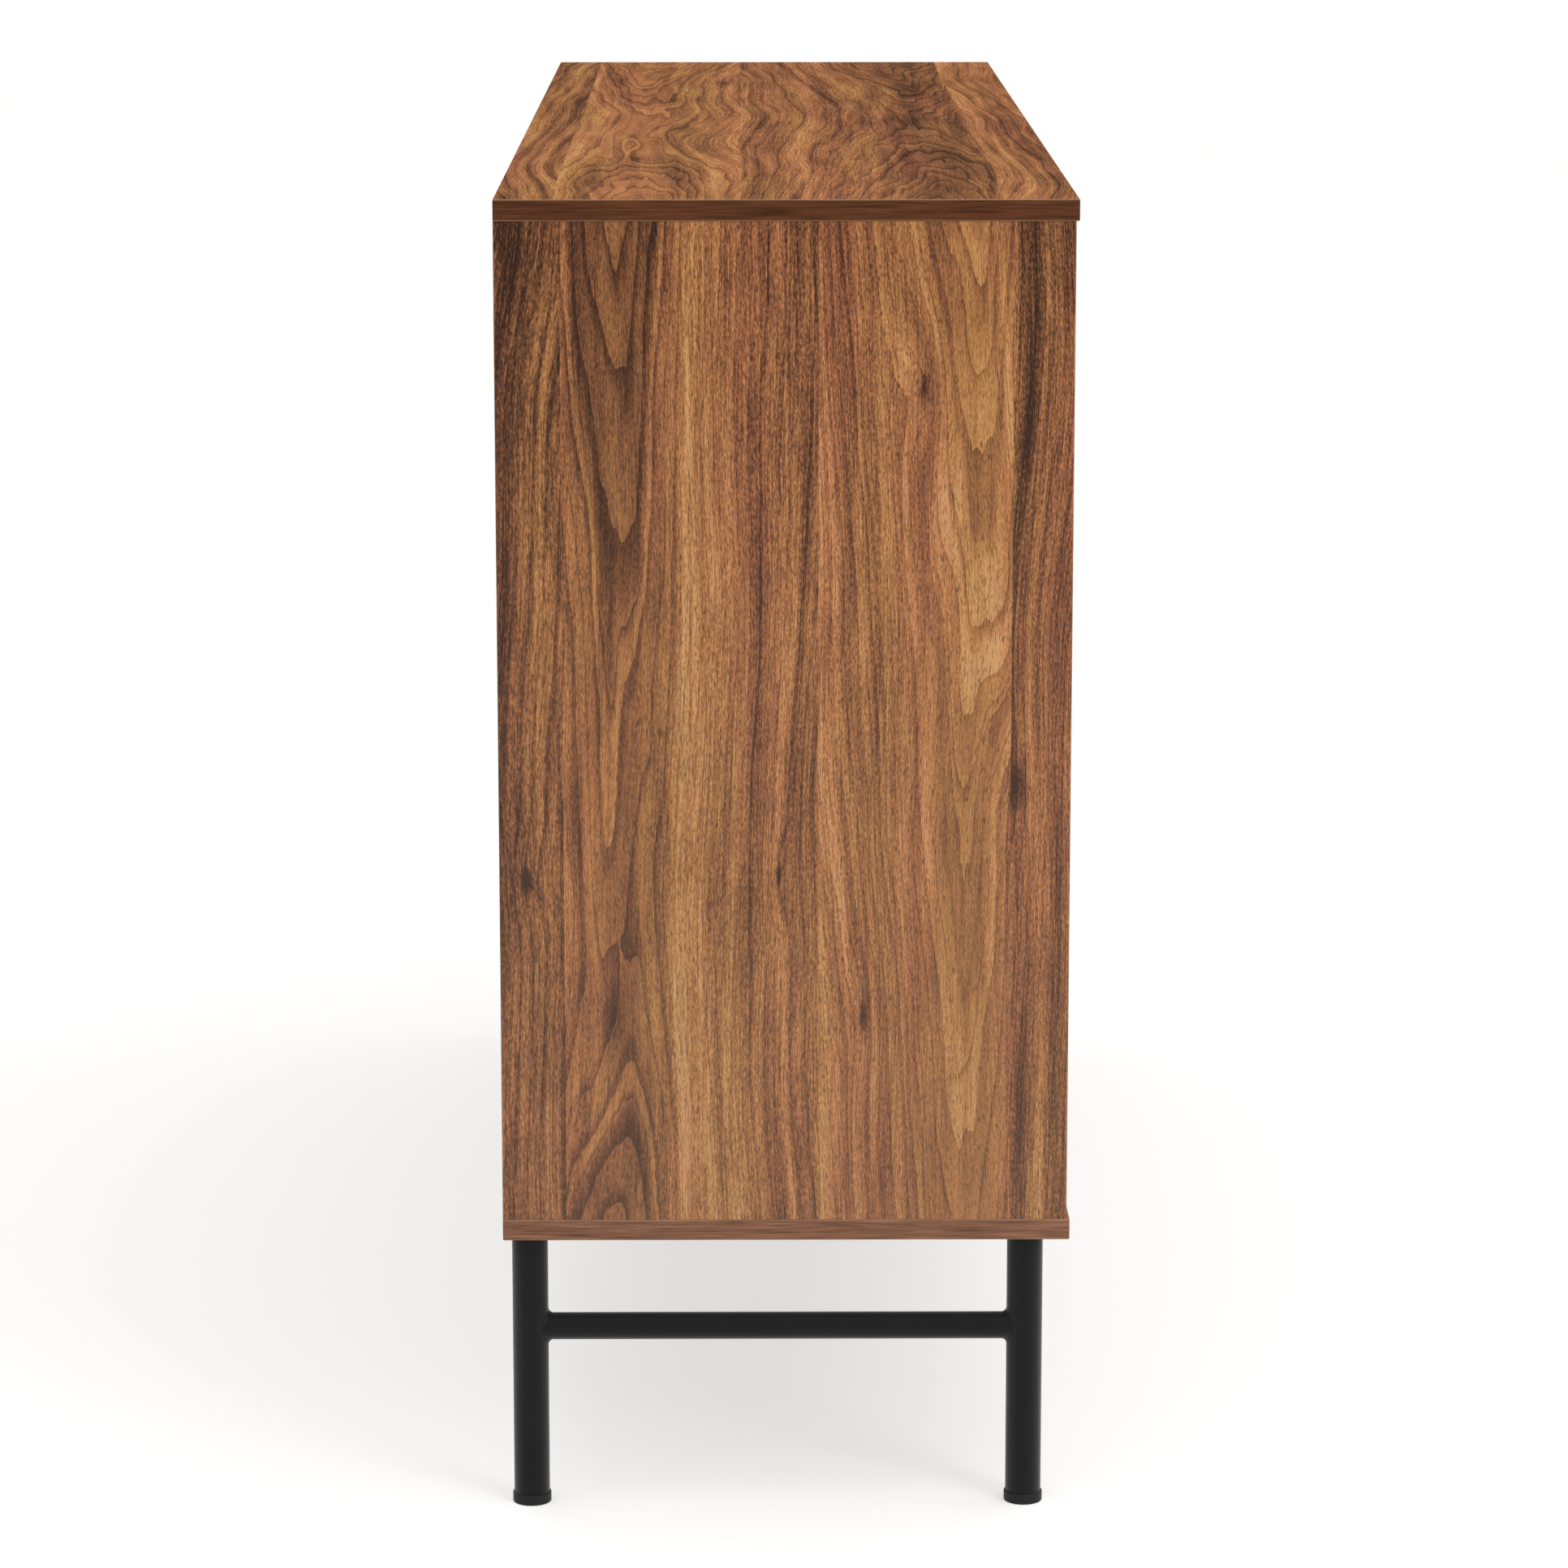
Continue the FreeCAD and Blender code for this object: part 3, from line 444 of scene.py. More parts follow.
def wood_colour(point, tone, calm, haze):
    """The colour of the print and where its pores are."""
    tree = point.tree
    marks = {}
    for title, (length, breadth, detail, start, full, leaning) in print_marks.items():
        noise = grain(point, length, breadth, detail, leaning=leaning)
        marks[title] = add(tree, "MapRange", {"Value": noise, "From Min": start, "From Max": full})
    pores = add(tree, "Math", {0: marks["pores"], 1: pore_dark}, operation="MULTIPLY")
    hairs = add(tree, "Math", {0: calm, 1: hair_dark}, operation="MULTIPLY")
    hairs = add(tree, "Math", {0: marks["hairs"], 1: hairs}, operation="MULTIPLY")
    dark = add(tree, "Math", {0: pores, 1: hairs}, operation="MAXIMUM")
    # Paler and greyer along the board; on the end panels this is painted light bounced from the floor
    paling_share, paling_length = haze
    paling_mask = add(tree, "MapRange", {"Value": point.u, "From Max": paling_length, "To Max": paling_share})

    colour = add(tree, "ValToRGB", {0: tone}, stops=walnut_tones)
    colour = add(tree, "Mix", {0: marks["reddish"], 6: colour, 7: red_cast},
                 data_type="RGBA", blend_type="MULTIPLY")
    colour = add(tree, "Mix", {0: dark, 6: colour, 7: pore_colour}, data_type="RGBA")
    colour = add(tree, "Mix", {0: paling_mask, 6: colour, 7: paling_colour}, data_type="RGBA")
    return colour, marks["pores"]


# %% [markdown]
# ### Edge band
# The faces that look along or across the board carry an edge band with a tone of its own. It is printed
# without rings, so plain noise drawn out along the band is enough.

# %% Edge band
band_dark, band_pale = 0.5, 1.6  # the darkest and palest wood of the band, in shares of its tone
band_layers = [
    # length and height in mm, detail, roughness, how far it pushes the tone
    (34.0, 1.0, 3.0, 0.6, 0.9),
    (70.0, 10 / 3, 1.0, 0.5, 0.45),
]


def edge_band(point, thickness, band_tone):
    """The colour of the edge band. thickness is the letter of the board's thin axis."""
    tree = point.tree
    depth = add(tree, "Math", {0: point.axes.outputs[thickness], 1: mm}, operation="MULTIPLY")
    spot = add(tree, "CombineXYZ", {0: point.u, 1: point.v, 2: depth})
    tone = 0.5
    for length, height, detail, roughness, reach in band_layers:
        sizes = (1 / length, 1 / length, 1 / height)
        place = add(tree, "VectorMath", {0: spot, 1: sizes}, operation="MULTIPLY")
        layer = {"Vector": place, "Scale": 1.0, "Detail": detail, "Roughness": roughness}
        layer = add(tree, "TexNoise", layer)
        push = add(tree, "Math", {0: layer, 1: 2 * reach, 2: -reach}, operation="MULTIPLY_ADD")
        tone = add(tree, "Math", {0: push, 1: tone}, operation="ADD")
    dark, pale = [
        [value * share for value in linear(band_tone)[:3]] + [1.0] for share in (band_dark, band_pale)
    ]
    return add(tree, "Mix", {0: tone, 6: dark, 7: pale}, data_type="RGBA")


# %% [markdown]
# ### The whole board
# The print lies on the two wide faces and the band on the four narrow ones. The rounded edges between
# them face neither way and are painted paler, as a painted highlight along the rounding. Melamine is
# pressed against a plate with a faint relief of pores and fibres.

# %% Walnut: one board
face_limit = 0.7  # a face that looks along the thin axis by more than this is a wide one
# Painted highlight along the rounded edges: the pale colour they are mixed towards
edge_highlight_colour = linear("dcb990")
edge_highlight_strength = 1.3  # how strongly the painted highlight pales the rounded edges
melamine_rough, fibre_rough, pore_rough = 0.42, 0.14, 0.10
relief_strength, relief_height = 0.3, 0.1  # the height is in mm


def walnut(name, along, across, width, leaves, bands, knots=(), band_tone="5a3826", seed=0.0, gloss=0.12,
           swirl=1.0, top_shade=(0.0, 1.0), haze=(0.0, 1.0)):
    """Walnut print on a board that is width mm wide across the grain.

    along, across: (axis letter, direction, start in metres)
    leaves: (start share, heart share, turn in mm, how golden the heart is)
    bands: (share, tone)    knots: (along mm, across mm, length mm, width mm, how dark)
    swirl: how far the rings stray from plain arches
    top_shade: painted shade where the print starts, as (how dark it is there, mm over which that fades)
    paling: (how far the print pales to a greyish tone, this many mm from its start); on the end panels this
    is painted light from the floor
    """
    material, tree, shader = new_material(name, Specular_IOR_Level=gloss)
    point = place_on_leaf(tree, along, across, width, leaves, seed)
    tone, layers, calm = wood_tone(point, width, bands, knots, swirl, top_shade)
    wood, pores = wood_colour(point, tone, calm, haze)

    thickness = (set("XYZ") - {along[0], across[0]}).pop()
    normal = add(tree, "SeparateXYZ", {0: add(tree, "TexCoord").outputs["Normal"]})
    facing = add(tree, "Math", {0: normal.outputs[thickness]}, operation="ABSOLUTE")
    wide = add(tree, "Math", {0: facing, 1: face_limit}, operation="GREATER_THAN")
    colour = add(tree, "Mix", {0: wide, 6: edge_band(point, thickness, band_tone), 7: wood}, data_type="RGBA")
    # Painted highlight: the rounded edges, which face neither way, are mixed towards a pale colour
    rounded = add(tree, "Math", {0: 1.0, 1: facing}, operation="SUBTRACT")
    for factor in (facing, edge_highlight_strength):
        rounded = add(tree, "Math", {0: rounded, 1: factor}, operation="MULTIPLY")
    colour = add(tree, "Mix", {0: rounded, 6: colour, 7: edge_highlight_colour}, data_type="RGBA")

    rough = melamine_rough
    for more, share in ((layers["fibre"], fibre_rough), (pores, pore_rough)):
        rough = add(tree, "Math", {0: more, 1: share, 2: rough}, operation="MULTIPLY_ADD")
    skin = add(tree, "Math", {0: layers["fibre"], 1: layers["speck"]}, operation="ADD")
    skin = add(tree, "Math", {0: skin, 1: pores}, operation="SUBTRACT")
    depth = relief_height / mm
    relief = add(tree, "Bump", {"Height": skin, "Strength": relief_strength, "Distance": depth})
    for socket, value in (("Base Color", colour), ("Roughness", rough), ("Normal", relief)):
        feed(tree, shader.inputs[socket], value)
    print(name, len(leaves), "leaves,", len(tree.nodes), "nodes")
    return material


# %% [markdown]
# ### End panels
# The photographed end shows four leaves. From the back: a narrow dark one with straight grain, a wide one
# whose arches point down in its upper part and up in its lower part, a wide one whose arches all point
# down, with a golden heart, and a narrow dark one again. The print is painted darker near the top, as
# painted shade under the top board, and paler and greyer towards the foot, as painted light bounced from
# the floor. The lamps alone don't give either, so the finish has both.

# %% End panels
end_leaves = [
    (0.0, -0.30, 900, 0.5),
    (0.110, 0.205, 385, 0.45),
    (0.557, 0.820, 2600, 0.76),
    (0.893, 1.25, -900, 0.45),
]
end_bands = [
    (0.00, 0.40), (0.050, 0.37), (0.070, 0.50), (0.100, 0.56), (0.115, 0.47), (0.20, 0.47), (0.28, 0.46),
    (0.32, 0.65), (0.36, 0.67), (0.40, 0.70), (0.44, 0.68), (0.48, 0.53), (0.53, 0.46), (0.555, 0.50),
    (0.562, 0.70), (0.60, 0.67), (0.66, 0.61), (0.70, 0.68), (0.74, 0.62), (0.77, 0.58), (0.82, 0.65),
    (0.888, 0.67), (0.896, 0.45), (1.00, 0.45),
]
end_knots = [
    (452, 20, 16, 8, 0.60),
    (545, 76, 46, 15, 0.35),
    (448, 192, 11, 3.5, 0.60),
    (548, 250, 22, 4.5, 0.65),
    (112, 290, 20, 6, 0.55),
    (385, 356, 26, 11, 0.50),
]
end_top_shade = (0.15, 200.0)  # painted shade under the top board: how dark at the top, mm over which that fades
end_floor_bounce = 0.14  # painted light bounced from the floor: how pale and grey at the foot
end_seeds = {"left_side_panel": 3.0, "right_side_panel": 7.0}
for name, seed in end_seeds.items():
    low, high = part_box(name)
    nodes[name].material_slots[0].material = walnut(
        "walnut_print_melamine_" + name, ("Z", -1, high.z), ("Y", -1, high.y), (high.y - low.y) * mm,
        end_leaves, end_bands, end_knots, seed=seed, top_shade=end_top_shade, haze=(end_floor_bounce, (high.z - low.z) * mm))

# %% [markdown]
# ### Top and bottom boards
# The grain of the top runs along its length, so the photograph sees the leaves foreshortened, with their
# arches pressed together into swirls. Both boards have the same print with a duller skin and a slight
# haze all over. The photograph shows the bottom board's edge band paler than the top's.

# %% Top and bottom boards
top_leaves = [
    (0.0, -0.35, 500, 0.5),
    (0.095, 0.24, 620, 0.55),
    (0.42, 0.76, 690, 0.15),
    (0.87, 1.2, 200, 0.5),
]
top_bands = [
    (0.00, 0.48), (0.09, 0.46), (0.10, 0.57), (0.25, 0.55), (0.36, 0.52), (0.415, 0.66), (0.425, 0.48),
    (0.52, 0.55), (0.66, 0.54), (0.80, 0.50), (0.865, 0.48), (0.875, 0.67), (0.91, 0.54), (1.00, 0.48),
]
top_knots = [(694, 305, 110, 26, 0.16), (1120, 150, 60, 16, 0.30), (330, 90, 50, 14, 0.25)]
top_seed, top_swirl, top_haze = 11.0, 1.7, (0.07, 1.0)
# Both boards carry the same band; the bottom one's paler tone is painted light
top_edge_tones = {"top_panel": "5c3825", "bottom_panel": "86604c"}
for name, band_tone in top_edge_tones.items():
    low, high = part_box(name)
    nodes[name].material_slots[0].material = walnut(
        "walnut_print_melamine_" + name, ("X", 1, low.x), ("Y", -1, high.y), (high.y - low.y) * mm,
        top_leaves, top_bands, top_knots, band_tone, seed=top_seed, gloss=0.0, swirl=top_swirl, haze=top_haze)

# %% [markdown]
# ### Doors and drawer fronts
# The front isn't in the photograph. It gets the same sheet with the grain along the length. The fronts
# share one material, and their Object coordinates start at the same point, so that one print runs over
# all of them from the left door to the right one.

# %% Fronts
front_leaves = [
    (0.0, -0.25, 300, 0.5),
    (0.19, 0.36, 560, 0.65),
    (0.47, 0.60, 900, 0.4),
    (0.80, 1.15, 1200, 0.5),
]
front_bands = [
    (0.00, 0.50), (0.18, 0.48), (0.20, 0.62), (0.33, 0.60), (0.46, 0.52), (0.48, 0.64), (0.62, 0.52),
    (0.79, 0.50), (0.81, 0.62), (1.00, 0.48),
]
front_knots = [(250, 210, 26, 8, 0.35), (760, 470, 30, 9, 0.35), (1180, 330, 22, 7, 0.3)]
front_seed = 23.0
door_low, door_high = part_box("left_door")
fronts = [name for name in nodes if name.endswith(("_door", "_drawer_front"))]
front_walnut = walnut(
    "walnut_print_melamine_fronts", ("X", 1, door_low.x), ("Z", -1, door_high.z),
    (door_high.z - door_low.z) * mm, front_leaves, front_bands, front_knots, seed=front_seed)
for name in fronts:
    nodes[name].material_slots[0].material = front_walnut
print(fronts)

# %% [markdown]
# ### Inner boards
# Partitions, shelves and drawer boxes have the same sheet with plain straight grain. Their leaves have
# heart lines far off the board, so no arches show.

# %% Inner boards
straight_leaves = [(0.0, -0.9, 400, 0.5), (0.36, 1.9, 400, 0.5), (0.72, -0.7, 400, 0.5)]
straight_bands = [(0.0, 0.50), (0.35, 0.54), (0.37, 0.60), (0.71, 0.56), (0.73, 0.50), (1.0, 0.56)]
first_inner_seed = 31.0
inner_boards = [
    # title, along and across the grain, how the nodes' names end
    ("partitions", ("Z", -1, door_high.z), ("Y", -1, top_high.y), "_partition"),
    ("shelves", ("X", 1, door_low.x), ("Y", -1, top_high.y), "_shelf"),
    ("drawer_sides", ("Y", 1, top_low.y), ("Z", -1, door_high.z), "_drawer_sides"),
    ("drawer_backs", ("X", 1, door_low.x), ("Z", -1, door_high.z), "_drawer_back"),
]
for number, (title, along, across, ending) in enumerate(inner_boards):
    finish = walnut("walnut_print_melamine_" + title, along, across, (top_high.y - top_low.y) * mm,
                    straight_leaves, straight_bands, seed=first_inner_seed + number)
    names = [name for name in nodes if name.endswith(ending)]
    for name in names:
        nodes[name].material_slots[0].material = finish
    print(title, len(names))

# %% [markdown]
# ## Hardboard
# The backs and the drawer bottoms are 3 mm hardboard: wood fibres pressed hot into a smooth brown sheet.
# The face towards the room has a plain straight-grained walnut print. The other face is bare: fibre
# clumps show as soft mottling with loose pale and dark fibres, and the press screen leaves a fine grid.
# The grid's real pitch, 1 mm, is too fine for the picture, so it is drawn at 2 mm.

# %% Hardboard
streak_length, streak_width = 800.0, 16.0  # mm, on the printed face
fibre_length, fibre_width = 110.0, 1.4
printed_low, printed_high = 0.25, 0.8  # its darkest and palest tone
screen_pitch = 2.0  # mm
clump = 9.0  # mm, size of a fibre clump
thread, hair = 8.0, 0.9  # mm, length and width of a loose fibre
bare_hardboard = linear("6a4a35")
bare_low, bare_high = 0.6, 1.4  # shares of that colour, where the bare face is darkest and palest
noise_low, noise_high = 0.7, 1.3  # where two noises together mostly lie
printed_facing = 0.4  # a face that looks the printed way by more than this has the print
printed_rough, bare_rough = 0.45, 0.85
screen_strength, screen_depth = 0.35, 0.2  # the depth is in mm


def hardboard(name, axis, way, grain_axis):
    """Hardboard whose printed face looks along an axis, one way or the other."""
    material, tree, shader = new_material(name, Specular_IOR_Level=0.2)
    place = add(tree, "TexCoord")
    normal = add(tree, "SeparateXYZ", {0: place.outputs["Normal"]})
    looks = add(tree, "Math", {0: normal.outputs[axis], 1: way}, operation="MULTIPLY")
    printed = add(tree, "Math", {0: looks, 1: printed_facing}, operation="GREATER_THAN")

    def fleecy(length, breadth, detail):
        """Noise whose features are about length mm along the grain and breadth mm the other ways."""
        sizes = [mm / (length if letter == grain_axis else breadth) for letter in "XYZ"]
        spot = add(tree, "VectorMath", {0: place.outputs["Object"], 1: sizes}, operation="MULTIPLY")
        return add(tree, "TexNoise", {"Vector": spot, "Scale": 1.0, "Detail": detail, "Roughness": 0.6})

    # Printed face: streaks and fibres in the boards' own tones
    streaks, fibres = fleecy(streak_length, streak_width, 2.0), fleecy(fibre_length, fibre_width, 2.0)
    drawn = add(tree, "Math", {0: streaks, 1: fibres}, operation="ADD")
    drawn = add(tree, "MapRange", {"Value": drawn, "From Min": noise_low, "From Max": noise_high,
                                   "To Min": printed_low, "To Max": printed_high})
    drawn = add(tree, "ValToRGB", {0: drawn}, stops=walnut_tones)

    # Bare face: clumps and loose fibres
    hairs = add(tree, "Math", {0: fleecy(thread, hair, 2.0), 1: fleecy(hair, hair, 2.0)}, operation="MAXIMUM")
    tint = add(tree, "Math", {0: fleecy(clump, clump, 4.0), 1: hairs}, operation="ADD")
    tint = add(tree, "MapRange", {"Value": tint, "From Min": noise_low, "From Max": noise_high,
                                  "To Min": bare_low, "To Max": bare_high})
    bare = add(tree, "VectorMath", {0: bare_hardboard[:3], 1: tint}, operation="MULTIPLY")
    colour = add(tree, "Mix", {0: printed, 6: bare, 7: drawn}, data_type="RGBA")
    rough = add(tree, "MapRange", {"Value": printed, "To Min": bare_rough, "To Max": printed_rough})

    # Relief: the press screen on the bare face only
    axes = add(tree, "SeparateXYZ", {0: place.outputs["Object"]})
    rows = []
    for letter in sorted(set("XYZ") - {axis}):
        angle = {0: axes.outputs[letter], 1: math.tau * mm / screen_pitch}
        angle = add(tree, "Math", angle, operation="MULTIPLY")
        rows.append(add(tree, "Math", {0: angle}, operation="SINE"))
    screen = add(tree, "Math", {0: rows[0], 1: rows[1]}, operation="MAXIMUM")
    behind = add(tree, "Math", {0: 1.0, 1: printed}, operation="SUBTRACT")
    screen = add(tree, "Math", {0: screen, 1: behind, 2: hairs}, operation="MULTIPLY_ADD")
    depth = screen_depth / mm
    relief = add(tree, "Bump", {"Height": screen, "Strength": screen_strength, "Distance": depth})
    for socket, value in (("Base Color", colour), ("Roughness", rough), ("Normal", relief)):
        feed(tree, shader.inputs[socket], value)
    return material


back_hardboard = hardboard("walnut_print_hardboard_backs", "Y", -1, "Z")
base_hardboard = hardboard("walnut_print_hardboard_drawers", "Z", 1, "X")
sheets = [name for name, slot in slots.items() if slot == "hardboard"]
for name in sheets:
    nodes[name].material_slots[0].material = back_hardboard if "back_panel" in name else base_hardboard
print(sheets)

# %% [markdown]
# ## Steel, zinc and plastics
# The legs and knobs are powder-coated: a black polyester powder is sprayed on dry and baked, which leaves
# a satin skin with a faint orange peel. The runners, pivots and screws are zinc-plated, a bright grey
# metal with a slightly cloudy blue cast. The cams are die-cast zinc, duller and rougher. Caps, bushes,
# catches and rollers are injection moulded, and their skin keeps the fine spark texture of the mould. One
# function serves all of them: a colour that varies a little, a roughness that varies a little, and a bump
# with a real size.

# %% Metals and plastics
rough_spread = 0.05  # how far the roughness strays
skin_height = 0.1  # mm
drift_low, drift_high = 0.3, 0.7  # where one noise mostly lies


def moulded(name, dark, pale, patch, grain_size, rough, relief, **surface):
    """A surface whose colour and roughness drift over patches of some mm, with a bump of grain_size mm."""
    material, tree, shader = new_material(name, **surface)
    spot = {"Vector": add(tree, "TexCoord").outputs["Object"]}
    drift = add(tree, "TexNoise", {**spot, "Scale": mm / patch, "Detail": 3.0, "Roughness": 0.6})
    drift = add(tree, "MapRange", {"Value": drift, "From Min": drift_low, "From Max": drift_high})
    colour = add(tree, "Mix", {0: drift, 6: linear(dark), 7: linear(pale)}, data_type="RGBA")
    ends = {"To Min": rough - rough_spread, "To Max": rough + rough_spread}
    roughness = add(tree, "MapRange", {"Value": drift, **ends})
    skin = add(tree, "TexNoise", {**spot, "Scale": mm / grain_size, "Detail": 2.0})
    bump = add(tree, "Bump", {"Height": skin, "Strength": relief, "Distance": skin_height / mm})
    for socket, value in (("Base Color", colour), ("Roughness", roughness), ("Normal", bump)):
        feed(tree, shader.inputs[socket], value)
    return material


finishes = {
    # Satin black: nearly even, with soft broad highlights and a faint orange peel of 1.8 mm waves. Powder
    # paint scatters more light where it is seen at a slant, so a little sheen lightens the tubes towards
    # their rims
    "black_steel": moulded(
        "black_powder_coated_steel", "0a0a0b", "0f0f10", 40.0, 1.8, 0.42, 0.25,
        Specular_IOR_Level=0.12, Sheen_Weight=0.3, Sheen_Roughness=0.5),
    # Bright grey metal, a little cloudy
    "zinc_plated_steel": moulded(
        "zinc_plated_steel", "a9aeb3", "c3c6c8", 12.0, 0.9, 0.32, 0.15, Metallic=1.0),
    # Duller cast metal with flow marks
    "zinc_alloy": moulded(
        "die_cast_zinc", "8d9093", "a7a9ab", 3.0, 0.6, 0.48, 0.4, Metallic=1.0),
    # Black moulded caps, with a fine spark texture
    "black_plastic": moulded(
        "black_moulded_polyethylene", "131313", "191919", 9.0, 0.5, 0.5, 0.4, Specular_IOR_Level=0.25),
    # Off-white moulded nylon, a little waxy
    "white_nylon": moulded("white_moulded_nylon", "dedbd1", "e8e5dc", 9.0, 0.6, 0.38, 0.25),
    # Pale wood of the dowels
    "beech": moulded("beech_dowel", "b98f63", "d0aa7d", 2.0, 0.7, 0.7, 0.6),
}
for name, slot in slots.items():
    if slot in finishes:
        nodes[name].material_slots[0].material = finishes[slot]
print(sorted(finishes))

# %% [markdown]
# ## Cross-recess screws
# Every runner, catch and plate is held by pan-head screws with a cross recess. One head is modelled once,
# as a small template that looks along +Z: a grid of nine squares, whose boundary is pulled out to a
# circle and then down to the seat. The five squares of the cross are pushed in, and the rim is bevelled.
# Copies of it go wherever a screw sits, joined to one piece for each set of screws, which hangs on its body.

# %% One screw head
rim_share = 0.22  # share of the head's height that the rim bevel takes
slot_share, cross_share = 0.16, 0.52  # half width and half length of the cross, shares of the head's radius
recess_share = 0.7  # depth of the cross, a share of the head's height


def moved_verts(result):
    """The vertices among what an operator made."""
    return [item for item in result["geom"] if isinstance(item, bmesh.types.BMVert)]


def screw_head(radius, height):
    """A bmesh of one pan head with a cross recess, seated on z = 0 and looking along +Z."""
    form = bmesh.new()
    bmesh.ops.create_grid(form, x_segments=3, y_segments=3, size=1.0)
    for vert in form.verts:
        for axis in (0, 1):
            reach = cross_share if abs(vert.co[axis]) > 0.5 else slot_share
            vert.co[axis] = math.copysign(reach * radius, vert.co[axis])
        vert.co.z = height
    rim = [edge for edge in form.edges if edge.is_boundary]
    ring = moved_verts(bmesh.ops.extrude_edge_only(form, edges=rim))
    for vert in ring:
        flat = vert.co.xy.normalized() * radius
        vert.co = (flat.x, flat.y, height)
    rim = [edge for edge in form.edges if edge.is_boundary]
    for vert in moved_verts(bmesh.ops.extrude_edge_only(form, edges=rim)):
        vert.co.z = 0.0

    cross = []
    for face in form.faces:
        near, far = sorted(abs(value) for value in face.calc_center_median().xy)
        if face.normal.z > 0.5 and far < cross_share * radius and near < slot_share * radius:
            cross.append(face)
    sunk = bmesh.ops.extrude_face_region(form, geom=cross)
    bmesh.ops.delete(form, geom=cross, context="FACES_ONLY")
    for vert in moved_verts(sunk):
        vert.co.z -= height * recess_share
    edge_ring = [edge for edge in form.edges if all(vert in ring for vert in edge.verts)]
    bmesh.ops.bevel(form, geom=edge_ring, offset=height * rim_share, offset_type="OFFSET", segments=3,
                    profile=0.5, affect="EDGES", material=-1)
    bmesh.ops.recalc_face_normals(form, faces=form.faces)
    return form


# %% Screws of one body
screw_turn = 1.1  # radians from one screw's cross to the next, because no two are driven home alike


def screws(name, body, places, radius, height):
    """One piece of many screw heads. places are (point in metres, direction that the head looks)."""
    template = bpy.data.meshes.new(name + "_template")
    form = screw_head(radius / mm, height / mm)
    form.to_mesh(template)
    form.free()
    form = bmesh.new()
    for number, (point, looks) in enumerate(places):
        first = len(form.verts)
        form.from_mesh(template)
        form.verts.ensure_lookup_table()
        turn = Matrix.Rotation(number * screw_turn, 4, "Z")
        stand = Vector(looks).to_track_quat("Z", "X").to_matrix().to_4x4()
        bmesh.ops.transform(form, matrix=Matrix.Translation(point) @ stand @ turn, verts=form.verts[first:])
    mesh = bpy.data.meshes.new(name)
    form.to_mesh(mesh)
    form.free()
    bpy.data.meshes.remove(template)
    mesh.materials.append(finishes["zinc_plated_steel"])
    for polygon in mesh.polygons:
        polygon.use_smooth = False
    piece = bpy.data.objects.new(name, mesh)
    bpy.context.scene.collection.objects.link(piece)
    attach(piece, body)
    print(name, len(places), "screws,", len(mesh.polygons), "faces")
    return piece


# %% [markdown]
# ### Where the screws sit
# Every place comes from the box of the piece that the screw holds, so a screw follows its piece. The
# cabinet runners are one node for the three drawers, so each drawer's side gives the height of its runner
# there.

# %% Runner screws
runner_screw = 3.2  # mm, radius of the head
raised_head, flush_head = 1.1, 0.2  # mm, heights; the rear rollers pass close over the flush ones
runner_shares = (0.16, 0.52, 0.9)  # of the runner's length
runner_gap = 12.5  # mm from the wall to the drawer side
runner_sheet = 1.2  # mm
runner_lift = 9.0  # mm from the foot of the drawer side to the middle of the channel

cabinet_low, cabinet_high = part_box("cabinet_runners")
cabinet_places = []
for drawer in ("bottom", "middle", "top"):
    side_low, side_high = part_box(drawer + "_drawer_sides")
    level = side_low.z + runner_lift / mm
    drawer_places = []
    for wall, way in ((cabinet_low.x, 1), (cabinet_high.x, -1)):
        for part in runner_shares:
            depth = cabinet_low.y + part * (cabinet_high.y - cabinet_low.y)
            cabinet_places.append(((wall + way * runner_sheet / mm, depth, level), (way, 0, 0)))
            outside = wall + way * (runner_gap - runner_sheet) / mm
            drawer_places.append(((outside, depth, level), (-way, 0, 0)))
    screws(drawer + "_drawer_runner_screws", drawer + "_drawer", drawer_places, runner_screw, raised_head)
screws("cabinet_runner_screws", "cabinet", cabinet_places, runner_screw, flush_head)

# %% [markdown]
# ### Knobs
# Each knob is held by one screw that goes through the front from the inside. Its head shows when the door or
# drawer is open.

# %% Knob screws
knob_screw, knob_head = 4.5, 2.0  # mm, radius and height of the head
for front in fronts:
    body = front if front.endswith("_door") else front.replace("_front", "")
    knob_low, knob_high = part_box(body + "_knob")
    middle = (knob_low + knob_high) / 2
    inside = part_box(front)[1].y
    screws(body + "_knob_screw", body, [((middle.x, inside, middle.z), (0, 1, 0))], knob_screw, knob_head)

# %% [markdown]
# ### Strikes and catches
# A strike plate sits on the inner face of each door, and a magnetic catch under the top board holds it. The
# strike's screw is flush, because the plate meets the magnet flat. A catch has a raised screw on each side.

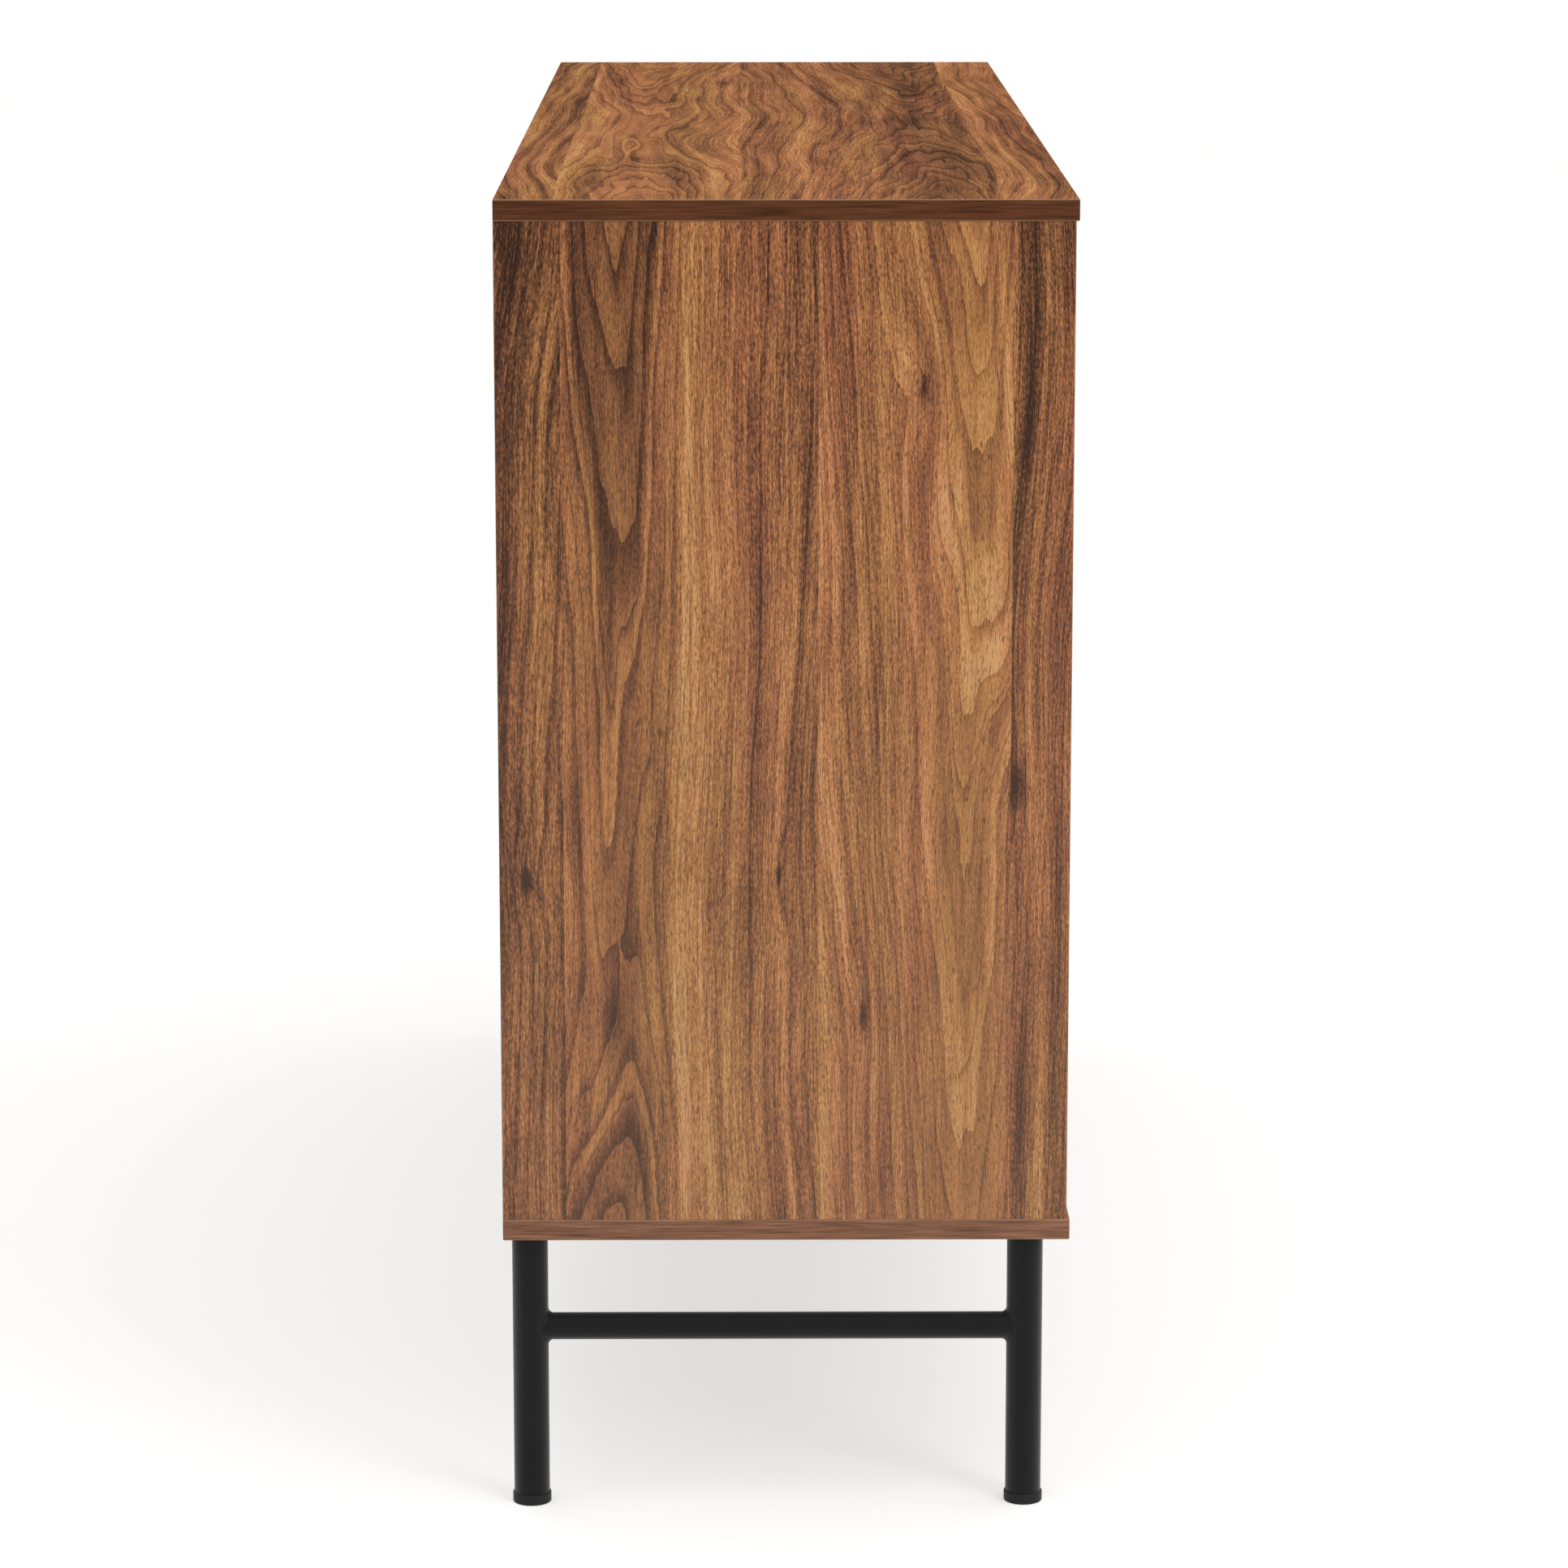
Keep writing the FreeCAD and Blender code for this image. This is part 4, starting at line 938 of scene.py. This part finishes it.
# %% Strike and catch screws
small_screw = 2.6  # mm, radius of the head
catch_screw_gap = 18.0  # mm from a catch's middle
catches_low, catches_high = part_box("magnetic_catches")
catches_middle = (catches_low.y + catches_high.y) / 2
catch_places = []
for side in ("left", "right"):
    strike_low, strike_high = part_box(side + "_door_strike")
    middle = (strike_low + strike_high) / 2
    strike_place = ((middle.x, strike_high.y, middle.z), (0, 1, 0))
    screws(side + "_strike_screw", side + "_door", [strike_place], small_screw, flush_head)
    for way in (-1, 1):
        aside = middle.x + way * catch_screw_gap / mm
        catch_places.append(((aside, catches_middle, catches_low.z), (0, 0, -1)))
screws("catch_screws", "cabinet", catch_places, small_screw, raised_head)

# %% [markdown]
# ### Pivots
# Each door turns on two pins, whose plates lie in its lower and upper edges. The screws of the plates are
# flush, because the door passes close to the boards.

# %% Pivot screws
pivot_shares = (0.45, 0.85)  # of a pivot plate's length, from its pin
for side in ("left", "right"):
    plate_low, plate_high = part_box(side + "_door_pivots")
    door_foot, door_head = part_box(side + "_door")
    hinge, free = (plate_low.x, plate_high.x) if side == "left" else (plate_high.x, plate_low.x)
    pivot_places = [
        ((hinge + part * (free - hinge), (plate_low.y + plate_high.y) / 2, level), (0, 0, looks))
        for part in pivot_shares
        for level, looks in ((door_foot.z, -1), (door_head.z, 1))
    ]
    screws(side + "_pivot_screws", side + "_door", pivot_places, small_screw, flush_head)

# %% [markdown]
# ### Leg plates
# Larger screws hold the leg plates under the bottom board. The solids have them with plain heads, so the
# heads made here take their place.

# %% Leg screws
leg_screw, leg_head = 6.0, 3.5  # mm, radius and height of the head
plate_shares = (0.12, 0.37, 0.63, 0.88)  # of a leg plate's length
screw_low, screw_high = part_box("leg_screws")
leg_places = []
for side, line in (("left", screw_low.x + leg_screw / mm), ("right", screw_high.x - leg_screw / mm)):
    low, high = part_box(side + "_leg_plate")
    for part in plate_shares:
        leg_places.append(((line, low.y + part * (high.y - low.y), low.z), (0, 0, -1)))
leg_screws = screws("pan_head_leg_screws", "cabinet", leg_places, leg_screw, leg_head)
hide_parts("leg_screws")
